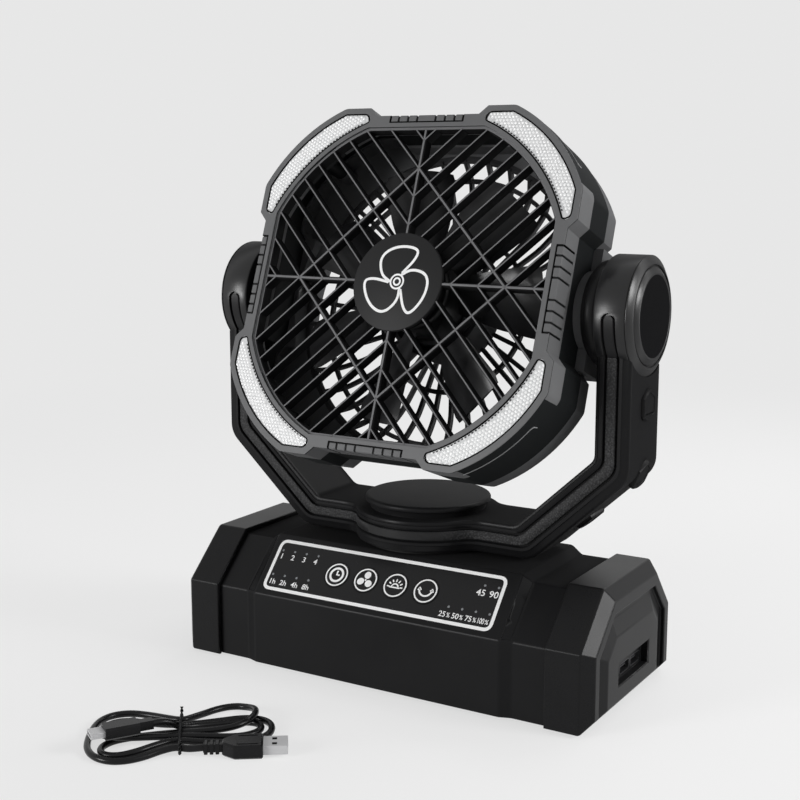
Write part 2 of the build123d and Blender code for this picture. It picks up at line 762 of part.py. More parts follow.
def make_disc():
    """Round cap on the yoke's hub, over the spindle screws."""
    disc = post(disc_neck_radius, yoke_top, disc_top - 1) + post(disc_radius, disc_top - disc_edge, disc_top)
    disc = chamfer(disc.edges().filter_by(GeomType.CIRCLE).sort_by(Axis.Z)[-1:], 1.0)
    return disc - post(disc_neck_radius - disc_wall, yoke_top - 1, disc_top - disc_wall)


def stepped_rod(steps, start):
    """Stack of discs along the pivot axis."""
    stack = None
    for radius, height in steps:
        piece = rod(radius, start, start + height, pivot_y, pivot_z)
        stack = piece if stack is None else stack + piece
        start += height
    return stack


def make_pivot_cap():
    """Stepped cap over the end of the right-hand pivot."""
    spigot = boss_radius - boss_wall
    cap = stepped_rod(pivot_cap_steps, boss_outer)
    cap += rod(spigot, boss_outer - pivot_cap_spigot, boss_outer, pivot_y, pivot_z)
    return cap - rod(spigot - boss_wall, 0, boss_outer - 0.5, pivot_y, pivot_z)


def make_friction_disc():
    """Clutch disc between the head and the right arm, on the pivot pin."""
    return stepped_rod(friction_steps, friction_start) - rod(pin_radius, 0, 200, pivot_y, pivot_z)


def make_pin():
    """Right-hand pivot pin, its head inside the boss."""
    neck = boss_floor + face_gap
    pin = rod(pin_radius, pin_start, neck, pivot_y, pivot_z)
    return pin + rod(pin_head_radius, neck, neck + pin_head_thick, pivot_y, pivot_z)


# ------------------------------------------------------------------ head
tilt = radians(head_tilt)
head_plane = Plane(origin=(0, pivot_y - pivot_depth * cos(tilt), pivot_z + pivot_depth * sin(tilt)),
                   x_dir=(1, 0, 0), z_dir=(0, -cos(tilt), sin(tilt)))


def save_head(name, shape):
    """Write a node that was built flat in the head's own plane."""
    save(name, [head_plane * s for s in shape] if isinstance(shape, list) else head_plane * shape)


def head_outline(inset=0.0):
    """Square with bowed corners and a shallow notch in the middle of each side."""
    side = Polyline((head_half, -corner_start), (head_half, -notch_out), (notch_half, -notch_in),
                    (notch_half, notch_in), (head_half, notch_out), (head_half, corner_start))
    diagonal = corner_reach / sqrt(2)
    corner = ThreePointArc((head_half, corner_start), (diagonal, diagonal), (corner_start, head_half))
    turns = [Rot(0, 0, 90 * k) for k in range(4)]
    face = make_face([e for turn in turns for part in (turn * side, turn * corner) for e in part.edges()])
    ends = [(sx * x, sy * y) for x, y in ((head_half, corner_start), (corner_start, head_half))
            for sx in (-1, 1) for sy in (-1, 1)]
    face = round_corners(face, ends, corner_fillet)
    return offset(face, -inset, kind=Kind.INTERSECTION) if inset else face


def aperture(grow=0.0):
    """Opening for the grille: a square with its corners cut by a circle."""
    return Rectangle(2 * (aperture_half + grow), 2 * (aperture_half + grow)) & Circle(aperture_radius + grow)


def lens_windows():
    """The four curved lamp windows, one at each corner."""
    region = head_outline(lens_inset) - Circle(lens_inner_radius)
    windows = []
    for piece in region.faces():
        small = offset(piece, -lens_round)
        windows.append(offset(small, lens_round))
    return windows


def lens_back(window):
    """Outline of a lens flange, clear of the bezel's collar and side wall."""
    back = offset(window, lens_flange) & head_outline(bezel_wall + slide_gap)
    return back - Circle(aperture_radius + collar_wall + slide_gap)


def grip_pieces(depth):
    """Angle-shaped grip inserts on the four sides, or the pockets for them."""
    front = box(notch_half - grip_front, notch_half, -grip_half, grip_half, -depth, 0)
    side = box(notch_half - depth, notch_half, -grip_half, grip_half, -grip_side, 0)
    return [Rot(0, 0, 90 * k) * (front + side) for k in range(4)]


def make_grips():
    """Grip inserts with their cross cuts."""
    cuts = []
    for y in [sign * at for at in grip_cuts for sign in (-1, 1)]:
        y0, y1 = y - grip_cut_width / 2, y + grip_cut_width / 2
        cuts.append(box(0, notch_half + 1, y0, y1, -grip_cut_depth, 1))
        cuts.append(box(notch_half - grip_cut_depth, notch_half + 1, y0, y1, -grip_side - 1, 1))
    grips = []
    for k, grip in enumerate(grip_pieces(grip_thick)):
        for cut in cuts:
            grip -= Rot(0, 0, 90 * k) * cut
        grips.append(grip)
    return grips


def make_bezel(windows):
    """Front shell: plate with grille opening and lamp windows, side walls, collar and posts."""
    bezel = along_z(head_outline(), -bezel_depth, 0)
    bezel -= along_z(head_outline(bezel_wall), -bezel_depth - 1, -front_plate)
    posts = [post(head_post_radius, -bezel_depth, -head_post_front, x, y) for x, y in head_screws]
    inside = along_z(head_outline(bezel_wall / 2), -bezel_depth, -head_post_front)
    for pillar in posts:
        bezel += pillar & inside
    bezel += along_z(aperture(collar_wall), -collar_depth, -front_plate / 2)
    bezel -= along_z(aperture(), -collar_depth - 1, 1)
    for window in windows:
        bezel -= along_z(window, -front_plate - 1, 1)
    for pocket in grip_pieces(grip_thick):
        bezel -= pocket
    for x, y in head_screws:
        bezel -= post(head_screw_radius, -bezel_depth - 1, -head_screw_end, x, y)
    return bezel


def make_lens(window):
    """Lamp lens: a plug in the window and a flange behind the plate."""
    lens = along_z(window, -front_plate, -lens_sunk)
    return lens + along_z(lens_back(window), -tray_back, -front_plate)


def make_lamp_tray(window):
    """Reflector tray behind a lens."""
    back = lens_back(window)
    tray = along_z(back, -tray_back - lamp_tray_depth, -tray_back)
    room = offset(back.faces()[0], -lamp_tray_wall)
    return tray - along_z(room, -tray_back - lamp_tray_depth + lamp_tray_wall, -tray_back + 1)


def make_led_board(window):
    """Curved lamp board on the floor of a tray."""
    low = -tray_back - lamp_tray_depth + lamp_tray_wall
    return along_z(offset(lens_back(window).faces()[0], -lamp_tray_wall), low, low + board_thick)


def grille_lines():
    """Ribs of one quadrant, all parallel to its diagonal and starting at the spokes."""
    lines = []
    length = 2 * aperture_radius
    for k in range(-rib_count, rib_count + 1):
        start = (max(k, 0) * rib_pitch, max(-k, 0) * rib_pitch)
        lines.append(Pos(*start) * Rot(0, 0, 45) * Pos(length / 2, 0) * Rectangle(length, rib_width))
    quarter = Pos(aperture_radius, aperture_radius) * Rectangle(2 * aperture_radius, 2 * aperture_radius)
    return (Sketch() + lines) & quarter


def make_grille():
    """Front grille: spokes, slanting ribs, square ring, rim and hub disc."""
    quarter = grille_lines()
    web = Sketch() + [Rot(0, 0, 90 * k) * quarter for k in range(4)]
    web += [Rectangle(2 * aperture_radius, spoke_width), Rectangle(spoke_width, 2 * aperture_radius)]
    diamond = Rot(0, 0, 45) * (Rectangle(sqrt(2) * diamond_reach + diamond_width, sqrt(2) * diamond_reach + diamond_width)
                               - Rectangle(sqrt(2) * diamond_reach - diamond_width,
                                           sqrt(2) * diamond_reach - diamond_width))
    web += diamond
    web = web & aperture()
    web += aperture() - aperture(-grille_rim)
    grille = along_z(web, rib_back, rib_front) - post(hub_disc_radius, cap_seat, 1)
    grille -= post(hub_cap_radius + slip_gap, cap_seat, 1)
    return grille + post(hub_disc_radius, rib_back, cap_seat)


def make_hub_cap():
    """Round badge plate in the middle of the grille."""
    cap = post(hub_cap_radius, cap_seat, cap_seat + hub_cap_thick)
    return chamfer(cap.edges().filter_by(GeomType.CIRCLE).sort_by(Axis.Z)[-1:], 0.4)


def make_rear():
    """Rear shell with the ears that carry the pivots and the posts for the screws."""
    shell = along_z(head_outline(rear_step), -rear_depth, -bezel_depth)
    shell -= along_z(head_outline(rear_step + rear_wall), -rear_depth + rear_wall, 0)
    for x, y in head_screws:
        pillar = post(head_post_radius, -rear_depth, -bezel_depth, x, y)
        shell += pillar & along_z(head_outline(rear_step), -rear_depth, 0)
    ear = box(ear_in, friction_start, -ear_half, ear_half, -ear_depth, -bezel_depth)
    ear += Pos((notch_half + friction_start) / 2, 0, -pivot_depth) * Rot(0, 90, 0) * Cylinder(
        pivot_boss_radius, friction_start - notch_half)
    bore = Pos(ear_in, 0, -pivot_depth) * Rot(0, 90, 0) * Cylinder(pin_radius, 4 * pin_radius + 20)
    for side in (0, 180):
        shell += Rot(0, 0, side) * ear
        shell -= Rot(0, 0, side) * bore
    shell -= post(guard_radius, -rear_depth - ear_depth, 0)
    for x, y in head_screws:
        shell -= post(head_screw_radius, -rear_depth - 1, 0, x, y)
    return shell


def make_guard():
    """Domed rear guard: spokes and rings cut from one shell, with the motor cup."""
    half = guard_bar / 2
    middle = -guard_back + half
    turn_r, turn_w = guard_shoulder[0] - half, -guard_shoulder[1] + half
    path = FilletPolyline((0, middle), (guard_flat, middle), (turn_r, turn_w),
                          (guard_radius - half, -rear_depth + rear_wall), radius=9)
    dome = revolve(Plane.XZ * trace(path, line_width=guard_bar), Axis.Z)
    dome &= post(guard_radius, -guard_back, -rear_depth + rear_wall)
    star = Circle(cup_radius) + (Circle(guard_radius) - Circle(guard_radius - guard_rim))
    for radius in guard_rings:
        star += Circle(radius + guard_spoke_width / 2) - Circle(radius - guard_spoke_width / 2)
    reach = guard_radius - cup_radius + 3
    for k in range(guard_spokes):
        at = Rot(0, 0, 360 * k / guard_spokes) * Pos(guard_radius - 1 - reach / 2, 0)
        star += at * Rectangle(reach, guard_spoke_width)
    guard = dome & along_z(star, -guard_back - 1, 0)
    cup = post(cup_radius, -guard_back + guard_bar - 0.5, -fan_motor_front)
    return guard + (cup - post(cup_radius - cup_wall, -guard_back + guard_bar, 0))


def make_fan_motor():
    """Fan motor in the rear cup, with a bore for its shaft."""
    motor = post(fan_motor_radius, -guard_back + guard_bar, -fan_motor_front)
    return motor - post(fan_shaft_radius + running_gap, -fan_shaft_back - face_gap, 0)


def make_impeller():
    """Impeller: a cup-shaped hub and twisted blades."""
    hub = post(blade_hub, -hub_front - hub_depth, -hub_front)
    hub = fillet(hub.edges().filter_by(GeomType.CIRCLE).sort_by(Axis.Z)[-1:], 3.0)
    hollow = post(blade_hub - hub_wall, -hub_front - hub_depth - 1, -hub_front - hub_wall)
    hub -= hollow
    hub += post(hub_boss, -hub_front - hub_depth, -hub_front - 1)
    sections = []
    for radius, chord, pitch in blade_stations:
        plane = Plane(origin=(radius, 0, -blade_middle), x_dir=(0, cos(radians(pitch)), sin(radians(pitch))),
                      z_dir=(1, 0, 0))
        sections.append(plane * Rectangle(chord, blade_thick))
    blade = (loft(sections) & post(blade_tip, -90, 0)) - hollow
    for k in range(blade_count):
        hub += Rot(0, 0, 360 * k / blade_count) * blade
    return hub - post(fan_shaft_radius, -90, 0)


def make_head_screws():
    """Screws from the back through both shells."""
    screws = []
    for x, y in head_screws:
        shank = post(head_screw_radius, -rear_depth, -head_screw_end, x, y)
        screws.append(shank + post(head_screw_head, -rear_depth - head_screw_proud, -rear_depth, x, y))
    return screws


# ------------------------------------------------------------------ charging cable
def on_hank(shape):
    """Place a shape from the hank's own frame on the ground."""
    return Pos(hank_x, hank_y, 0) * Rot(0, 0, hank_turn) * shape


def plug_pieces(at, aim, parts, low, grip_height, plug_height):
    """Overmoulded grip with its strain relief, and the metal plug, lying flat."""
    (relief_w, relief_l), (grip_w, grip_l), (plug_w, plug_l) = parts
    place = Pos(at[0], at[1], low) * Rot(0, 0, aim)
    middle = grip_height / 2
    grip = box(0, relief_l, -relief_w / 2, relief_w / 2, middle - relief_w / 2, middle + relief_w / 2)
    body = box(relief_l, relief_l + grip_l, -grip_w / 2, grip_w / 2, 0, grip_height)
    grip += chamfer(body.edges().filter_by(Axis.X), 1.0)
    start = relief_l + grip_l
    plug = box(start, start + plug_l, -plug_w / 2, plug_w / 2, middle - plug_height / 2, middle + plug_height / 2)
    plug -= box(start + 2, start + plug_l + 1, -plug_w / 2 + 0.5, plug_w / 2 - 0.5,
                middle - plug_height / 2 + 0.5, middle + plug_height / 2 - 0.5)
    return on_hank(place * grip), on_hank(place * plug)


def make_hank():
    """The hank's whole outline as one solid."""
    return on_hank(along_z(make_face(Spline(*hank_outline, periodic=True)), 0, hank_height))


def make_tie():
    """Wire tie over the middle of the hank, down to the ground on both sides."""
    tie = box(-tie_width / 2, tie_width / 2, tie_low, tie_high, 0, hank_height + tie_wall)
    return on_hank(tie) - make_hank()


# ------------------------------------------------------------------ nodes
save("base_housing", make_housing())
save("base_tray", make_tray())
save("base_screws", make_base_screws())
save("rubber_feet", make_feet())
save("right_end_cap", make_end_cap(True))
save("left_end_cap", left_copy(make_end_cap(False)))
save("usb_a_ports", [make_port(y, usb_a_width, usb_a_height, usb_a_length) for y in usb_a_y])
save("usb_c_port", make_port(usb_c_y, usb_c_width, usb_c_height, usb_c_length))
save("power_board", make_power_board())
save("control_panel", make_panel())
save("indicator_lenses", make_indicators())
for button_name, place in zip(("timer_button", "fan_button", "lamp_button", "swing_button"), button_x):
    save(button_name, make_button(place))
save("control_board", make_control_board())
save("tact_switches", [make_switch(x) for x in button_x])
save("battery_cells", make_cells())
save("battery_holder", make_holder())
save("swing_motor", make_swing_motor())
save("swing_pinion", make_pinion())
save("spindle_bush", make_bush())
save("turntable_washer", make_washer())

yoke = yoke_body()
save("yoke_frame", make_yoke_frame(yoke))
save("yoke_rear_cover", yoke_cavity(arm_rear - yoke_cover, arm_rear))
save("yoke_inlay", strip_piece(yoke, strip_width))
save("turntable_cap", make_disc())
save("yoke_spindle", make_spindle())
save("swing_gear", make_swing_gear())
save("spindle_retainer", make_retainer())
save("spindle_screws", make_spindle_screws())
save("right_pivot_cap", make_pivot_cap())
save("left_pivot_cap", left_copy(make_pivot_cap()))

lamp_windows = lens_windows()
save_head("front_bezel", make_bezel(lamp_windows))
for window in lamp_windows:
    centre = window.center()
    lens_name = f"lens_{'top' if centre.Y > 0 else 'bottom'}_{'right' if centre.X > 0 else 'left'}"
    save_head(lens_name, make_lens(window))
save_head("lamp_trays", [make_lamp_tray(window) for window in lamp_windows])
save_head("led_boards", [make_led_board(window) for window in lamp_windows])
save_head("grip_inserts", make_grips())
save_head("front_grille", make_grille())
save_head("hub_cap", make_hub_cap())
save_head("rear_housing", make_rear())
save_head("rear_guard", make_guard())
save_head("fan_motor", make_fan_motor())
save_head("head_screws", make_head_screws())
save("right_friction_disc", make_friction_disc())
save("left_friction_disc", left_copy(make_friction_disc()))
save("pivot_pins", [make_pin(), left_copy(make_pin())])
save_head("impeller", make_impeller())
save_head("motor_shaft", post(fan_shaft_radius, -fan_shaft_back, -hub_front + 1))
nut = post(nut_radius, -hub_front, -hub_front + nut_height) - post(fan_shaft_radius, -hub_front, -hub_front + 1)
save_head("shaft_nut", nut)

save("cable_hank", make_hank())
save("cable_tie", make_tie())
usb_c_grip, usb_c_plug = plug_pieces(usb_c_at, usb_c_aim, usb_c_parts, hank_height,
                                     usb_c_grip_height, usb_c_plug_height)
usb_a_grip, usb_a_plug = plug_pieces(usb_a_at, usb_a_aim, usb_a_parts, 0,
                                     usb_a_grip_height, usb_a_plug_height)
save("usb_c_grip", usb_c_grip)
save("usb_c_connector", usb_c_plug)
save("usb_a_grip", usb_a_grip)
save("usb_a_connector", usb_a_plug)
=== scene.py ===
"""Portable camping fan: finishes, detailed pieces, charging cable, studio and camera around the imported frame."""
from __future__ import annotations

import json
import logging
import math
from dataclasses import dataclass
from enum import Enum
from typing import Optional, Sequence, Union

import bmesh
import bpy
import numpy as np
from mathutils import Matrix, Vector


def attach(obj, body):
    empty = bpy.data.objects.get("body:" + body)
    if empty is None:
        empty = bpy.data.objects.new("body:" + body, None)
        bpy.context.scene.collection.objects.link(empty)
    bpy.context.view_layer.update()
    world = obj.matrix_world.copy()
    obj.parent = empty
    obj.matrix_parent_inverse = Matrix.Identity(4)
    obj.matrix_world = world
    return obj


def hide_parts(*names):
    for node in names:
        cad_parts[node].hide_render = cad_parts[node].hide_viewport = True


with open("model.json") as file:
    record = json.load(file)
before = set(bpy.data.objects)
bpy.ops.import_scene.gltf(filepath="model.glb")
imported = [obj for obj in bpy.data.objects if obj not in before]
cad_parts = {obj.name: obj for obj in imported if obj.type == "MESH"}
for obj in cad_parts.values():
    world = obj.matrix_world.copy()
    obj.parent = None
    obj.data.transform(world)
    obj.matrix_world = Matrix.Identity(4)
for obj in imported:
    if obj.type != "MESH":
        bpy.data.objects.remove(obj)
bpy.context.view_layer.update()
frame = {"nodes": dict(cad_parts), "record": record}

log = logging.getLogger("camping_fan")
MM = 0.001
Number = Union["Value", float]
Pair = tuple[float, float]
Triple = tuple[float, float, float]


class Part(Enum):
    """Bodies of the fan that pieces ride on."""

    BASE = "base"
    TIMER = "timer_key"
    FAN_KEY = "fan_key"
    LAMP = "lamp_key"
    SWING = "swing_key"
    YOKE = "yoke"
    HEAD = "head"
    FAN = "fan"


# ---- shader kit
class Value:
    """A socket's output; Python operators on it add Math nodes to its tree."""

    def __init__(self, shader: "Shader", socket: bpy.types.NodeSocket) -> None:
        """Keep the material's builder and the output."""
        self.shader = shader
        self.socket = socket

    def maths(self, operation: str, *others: Number, swap: bool = False) -> "Value":
        """One Math node on this value.

        Args:
            operation: the node's operation.
            others: the further operands.
            swap: whether this value is the second operand.

        Returns:
            The node's output.
        """
        operands = [self, *others]
        if swap:
            operands.reverse()
        return self.shader.node("ShaderNodeMath", {"operation": operation}, dict(enumerate(operands)))

    def __add__(self, other: Number) -> "Value":
        """Sum."""
        return self.maths("ADD", other)

    def __sub__(self, other: Number) -> "Value":
        """Difference."""
        return self.maths("SUBTRACT", other)

    def __rsub__(self, other: Number) -> "Value":
        """Difference from a number."""
        return self.maths("SUBTRACT", other, swap=True)

    def __mul__(self, other: Number) -> "Value":
        """Product."""
        return self.maths("MULTIPLY", other)

    def __gt__(self, other: Number) -> "Value":
        """1 where this value is larger."""
        return self.maths("GREATER_THAN", other)

    def __lt__(self, other: Number) -> "Value":
        """1 where this value is smaller."""
        return self.maths("LESS_THAN", other)

    __radd__ = __add__
    __rmul__ = __mul__

    def ramp(self, low: float, high: float, start: float = 0.0, end: float = 1.0) -> "Value":
        """Smooth step: this value between low and high becomes a value between start and end."""
        inputs = {0: self, 1: low, 2: high, 3: start, 4: end}
        return self.shader.node("ShaderNodeMapRange", {"interpolation_type": "SMOOTHSTEP"}, inputs)


class Shader:
    """Node tree of a material or of the world."""

    def __init__(self, owner: Union[bpy.types.Material, bpy.types.World]) -> None:
        """Start the owner's tree empty."""
        self.owner = owner
        owner.use_nodes = True
        self.tree = owner.node_tree
        self.tree.nodes.clear()

    def node(self, kind: str, settings: Optional[dict] = None, inputs: Optional[dict] = None,
             out: Union[int, str] = 0) -> Value:
        """Add one node.

        Args:
            kind: the node's type.
            settings: properties, set before the inputs.
            inputs: socket name or number to a value, number or tuple.
            out: the output that is returned.

        Returns:
            That output.
        """
        added = self.tree.nodes.new(kind)
        for key, value in (settings or {}).items():
            setattr(added, key, value)
        for key, value in (inputs or {}).items():
            if isinstance(value, Value):
                self.tree.links.new(value.socket, added.inputs[key])
            else:
                added.inputs[key].default_value = value
        return Value(self, added.outputs[out])

    def place(self) -> Value:
        """The object's own coordinates, in metres."""
        return self.node("ShaderNodeTexCoord", out="Object")

    def noise(self, where: Value, size: float, detail: float = 2.0, rough: float = 0.5) -> Value:
        """Noise around 0.5 with patches of about a size in metres."""
        inputs = {"Vector": where, "Scale": 1.0 / size, "Detail": detail, "Roughness": rough}
        return self.node("ShaderNodeTexNoise", {}, inputs, "Fac")

    def patches(self, where: Value) -> Value:
        """Broad soft patches, in which the tone of moulded plastic wanders."""
        return self.noise(where, 0.03, 3.0)

    def cells(self, where: Value, size: float, feature: str = "F1") -> Value:
        """Distances in Voronoi cells of about a size in metres."""
        inputs = {"Vector": where, "Scale": 1.0 / size}
        return self.node("ShaderNodeTexVoronoi", {"feature": feature}, inputs, "Distance")

    def split(self, where: Value) -> tuple[Value, Value, Value]:
        """The three parts of a vector."""
        source = self.node("ShaderNodeSeparateXYZ", {}, {0: where})
        return source, Value(self, source.socket.node.outputs[1]), Value(self, source.socket.node.outputs[2])

    def blend(self, factor: Number, first: object, second: object) -> Value:
        """Colour between two colours.

        Args:
            factor: 0 gives the first, 1 the second.
            first, second: colours as (r, g, b) or values.

        Returns:
            The mixed colour.
        """
        def full(colour: object) -> object:
            """Colour with its alpha."""
            return colour if isinstance(colour, Value) else (*colour, 1.0)
        return self.node("ShaderNodeMix", {"data_type": "RGBA"}, {0: factor, 6: full(first), 7: full(second)}, 2)

    def bump(self, height: Value, depth: float, strength: float = 1.0) -> Value:
        """Normal bent by a pattern of 0 to 1 that is depth metres high, and of which strength shows."""
        return self.node("ShaderNodeBump", {}, {"Height": height, "Distance": depth, "Strength": strength})

    def edge_on(self) -> Value:
        """1 where the surface is seen edge on, 0 where it is faced: matt plastic loses its gloss there."""
        return self.node("ShaderNodeLayerWeight", {}, {"Blend": 0.5}, "Facing").ramp(0.3, 0.62)

    def seen(self) -> Value:
        """1 for rays of the camera, of reflections and of glass."""
        camera, glossy, glass = (self.node("ShaderNodeLightPath", out=ray)
                                 for ray in ("Is Camera Ray", "Is Glossy Ray", "Is Transmission Ray"))
        return camera.maths("MAXIMUM", glossy).maths("MAXIMUM", glass)

    def finish(self, **sockets: object) -> None:
        """Add the Principled surface, whose inputs are given with _ for spaces, and the output."""
        inputs = {}
        for key, value in sockets.items():
            plain = isinstance(value, tuple) and len(value) == 3
            inputs[key.replace("_", " ")] = (*value, 1.0) if plain else value
        self.end(self.node("ShaderNodeBsdfPrincipled", {}, inputs))

    def end(self, surface: Value, kind: str = "ShaderNodeOutputMaterial") -> None:
        """Link a surface to the tree's output."""
        self.tree.links.new(surface.socket, self.tree.nodes.new(kind).inputs["Surface"])


# ---- finishes
def shade(colour: Sequence[float], factor: float) -> Triple:
    """A colour made lighter or darker."""
    return tuple(min(channel * factor, 1.0) for channel in colour)


class Recipe:
    """A finish: its subclasses say what the Principled surface gets."""

    def sockets(self, shader: Shader, where: Value) -> dict[str, object]:
        """The surface's inputs.

        Args:
            shader: the material's builder.
            where: the object's own coordinates.

        Returns:
            Principled inputs, with _ for spaces.
        """
        raise NotImplementedError

    def material(self, name: str) -> bpy.types.Material:
        """Build the material."""
        shader = Shader(bpy.data.materials.new(name))
        shader.finish(**self.sockets(shader, shader.place()))
        return shader.owner


@dataclass(frozen=True)
class MouldedPlastic(Recipe):
    """Injection-moulded plastic: fine eroded texture, cloudy sheen, slightly uneven colour.

    Attributes:
        colour: the plastic's colour.
        roughness: middle roughness.
        grain: size of the texture's grains, metres.
        relief: their height, metres.
        cloud: how far the roughness wanders.
        specular: specular level.
        fade: how much of the gloss is lost where the plastic is seen edge on.
    """

    colour: Triple
    roughness: float = 0.42
    grain: float = 0.0004
    relief: float = 0.00001
    cloud: float = 0.05
    specular: float = 0.5
    fade: float = 1.0

    def sockets(self, shader: Shader, where: Value) -> dict[str, object]:
        """Wandering tone and roughness, gloss lost edge on, and the eroded texture as bump."""
        patches = shader.patches(where)
        pits = shader.noise(where, self.grain, 1.0)
        tone = shader.blend(patches, shade(self.colour, 0.86), shade(self.colour, 1.14))
        rough = (patches - 0.5) * (2.0 * self.cloud) + (pits - 0.5) * 0.06 + self.roughness
        if self.fade:
            rough = rough + shader.edge_on() * ((1.0 - self.roughness) * self.fade)
        return dict(Base_Color=tone, Roughness=rough, Specular_IOR_Level=self.specular,
                    Normal=shader.bump(pits, self.relief, 0.6))


@dataclass(frozen=True)
class TwoTonePaintedHighlightPlastic(Recipe):
    """Front shell: grey face, black seam and corners, and grey bands behind the face along the straight sides, which
    are a painted highlight on the black side walls.

    Attributes:
        colour: the grey.
        dark: the black.
        roughness: middle roughness.
        seam: depth of the black seam's two edges behind the face, metres.
        band: depth of the end of the grey bands, the painted highlight, metres.
        straight: how far the bands reach along a side from its middle, metres.
        specular: specular level.
    """

    colour: Triple
    dark: Triple
    roughness: float = 0.42
    seam: Pair = (0.0006, 0.0011)
    band: float = 0.0165
    straight: float = 0.056
    specular: float = 0.1

    def sockets(self, shader: Shader, where: Value) -> dict[str, object]:
        """Grey where a point's depth behind the face and its place along a side say so, else black; the grey bands on
        the sides are painted highlight.
        """
        x, y, z = shader.split(where)
        rise, reach = math.sin(TILT), math.cos(TILT)
        start = np.asarray(HEAD.origin) * MM
        out = (y - float(start[1])) * -reach + (z - float(start[2])) * rise
        up = (y - float(start[1])) * rise + (z - float(start[2])) * reach
        near = x.maths("ABSOLUTE").maths("MINIMUM", up.maths("ABSOLUTE")) < self.straight
        # painted highlight: grey bands on the flat side walls behind the seam, where light falls on them
        band = (out < -self.seam[1]) * (out > -self.band) * near
        patches = shader.patches(where)
        pits = shader.noise(where, 0.0004, 1.0)
        grey = shader.blend(patches, shade(self.colour, 0.9), shade(self.colour, 1.1))
        tone = shader.blend(band.maths("MAXIMUM", out > -self.seam[0]), self.dark, grey)
        rough = (pits - 0.5) * 0.08 + self.roughness + shader.edge_on() * (1.0 - self.roughness)
        return dict(Base_Color=tone, Roughness=rough, Specular_IOR_Level=self.specular,
                    Normal=shader.bump(pits, 0.00001, 0.6))


@dataclass(frozen=True)
class GritPlastic(Recipe):
    """Grip strip: coarse sparkling texture of small round grains beside the hub, smooth in front of it; the sparkle is
    painted highlight on the grain tops.

    Attributes:
        colour: the plastic's colour.
        smooth: the colour of the smooth part.
        grain: size of the grains, metres.
        start: how far from the middle the grains fade in, metres.
    """

    colour: Triple
    smooth: Triple
    grain: float = 0.0011
    start: Pair = (0.022, 0.036)

    def sockets(self, shader: Shader, where: Value) -> dict[str, object]:
        """Round cells as grains with painted highlight on their tops, faded in by the distance from the middle."""
        grains = shader.cells(where, self.grain)
        tops = grains.ramp(0.15, 0.75, 1.0, 0.0)
        patches = shader.noise(where, self.grain * 1.7, 2.0)
        gritty = shader.split(where)[0].maths("ABSOLUTE").ramp(*self.start)
        # speckled grain tone, lighter on the grain tops: painted sparkle highlight
        tone = shader.blend(tops * patches, shade(self.colour, 0.45), shade(self.colour, 2.2))
        return dict(Base_Color=shader.blend(gritty, self.smooth, tone), Roughness=0.4 + gritty * 0.15,
                    Specular_IOR_Level=0.2, Normal=shader.bump(tops * gritty, 0.00014, 0.8))


@dataclass(frozen=True)
class PolishedPlastic(Recipe):
    """Polished plastic or lacquer with faint wipe marks and a little dust.

    Attributes:
        colour: the colour.
        roughness: lowest roughness.
        specular: specular level.
    """

    colour: Triple
    roughness: float = 0.12
    specular: float = 0.25

    def sockets(self, shader: Shader, where: Value) -> dict[str, object]:
        """Wipe marks in the roughness and thinly strewn dust."""
        wiped = shader.noise(where, 0.02, 4.0, 0.6)
        dust = shader.cells(where, 0.0016).ramp(0.02, 0.1, 1.0, 0.0) * (shader.noise(where, 0.006) > 0.6)
        tone = shader.blend(dust * 0.15, self.colour, (0.4, 0.4, 0.4))
        return dict(Base_Color=tone, Roughness=wiped * 0.12 + dust * 0.2 + self.roughness,
                    Specular_IOR_Level=self.specular)


@dataclass(frozen=True)
class Metal(Recipe):
    """Bare or plated metal with fine drawn lines and slight stains.

    Attributes:
        colour: the metal's colour.
        roughness: middle roughness.
        lines: direction in which the lines are drawn out.
    """

    colour: Triple
    roughness: float = 0.25
    lines: Triple = (60.0, 2500.0, 2500.0)

    def sockets(self, shader: Shader, where: Value) -> dict[str, object]:
        """Noise drawn out into lines, with stains in the tone."""
        drawn = shader.node("ShaderNodeMapping", {}, {"Vector": where, "Scale": self.lines})
        lines = shader.noise(drawn, 1.0, 2.0)
        stain = shader.noise(where, 0.006, 3.0)
        tone = shader.blend(stain * 0.5, self.colour, shade(self.colour, 0.72))
        return dict(Base_Color=tone, Metallic=1.0, Roughness=(lines - 0.5) * 0.16 + self.roughness,
                    Normal=shader.bump(lines, 0.000006, 0.5))


@dataclass(frozen=True)
class Rubber(Recipe):
    """Soft matt compound with a faint bloom.

    Attributes:
        colour: the colour.
        roughness: middle roughness.
        specular: specular level.
    """

    colour: Triple
    roughness: float = 0.6
    specular: float = 0.4

    def sockets(self, shader: Shader, where: Value) -> dict[str, object]:
        """A paler bloom in patches and a fine grain."""
        bloom = shader.noise(where, 0.008, 4.0)
        fine = shader.noise(where, 0.0003, 1.0)
        tone = shader.blend(bloom.ramp(0.45, 0.8), self.colour, shade(self.colour, 1.7))
        return dict(Base_Color=tone, Roughness=bloom * 0.16 + (self.roughness - 0.08),
                    Specular_IOR_Level=self.specular, Normal=shader.bump(fine, 0.000012, 0.5))


@dataclass(frozen=True)
class LampLens(Recipe):
    """Milky clear lamp cover with rows of small prisms.

    Attributes:
        colour: the cover's colour.
        pitch: distance of the prisms, metres.
    """

    colour: Triple
    pitch: float = 0.002

    def sockets(self, shader: Shader, where: Value) -> dict[str, object]:
        """Cells as prisms, with painted shade between them in patches."""
        cells = shader.cells(where, self.pitch * 0.8)
        # painted shade: darker tone between the prisms, where their valleys lie in shade
        dark = cells.ramp(0.25, 0.8, 0.0, 1.0) * shader.noise(where, 0.0035, 2.0).ramp(0.35, 0.7)
        tone = shader.blend(dark * 0.55, self.colour, shade(self.colour, 0.55))
        return dict(Base_Color=tone, Roughness=dark * 0.25 + 0.14, Coat_Weight=0.6, Coat_Roughness=0.05,
                    Normal=shader.bump(cells, 0.0003, 0.35))


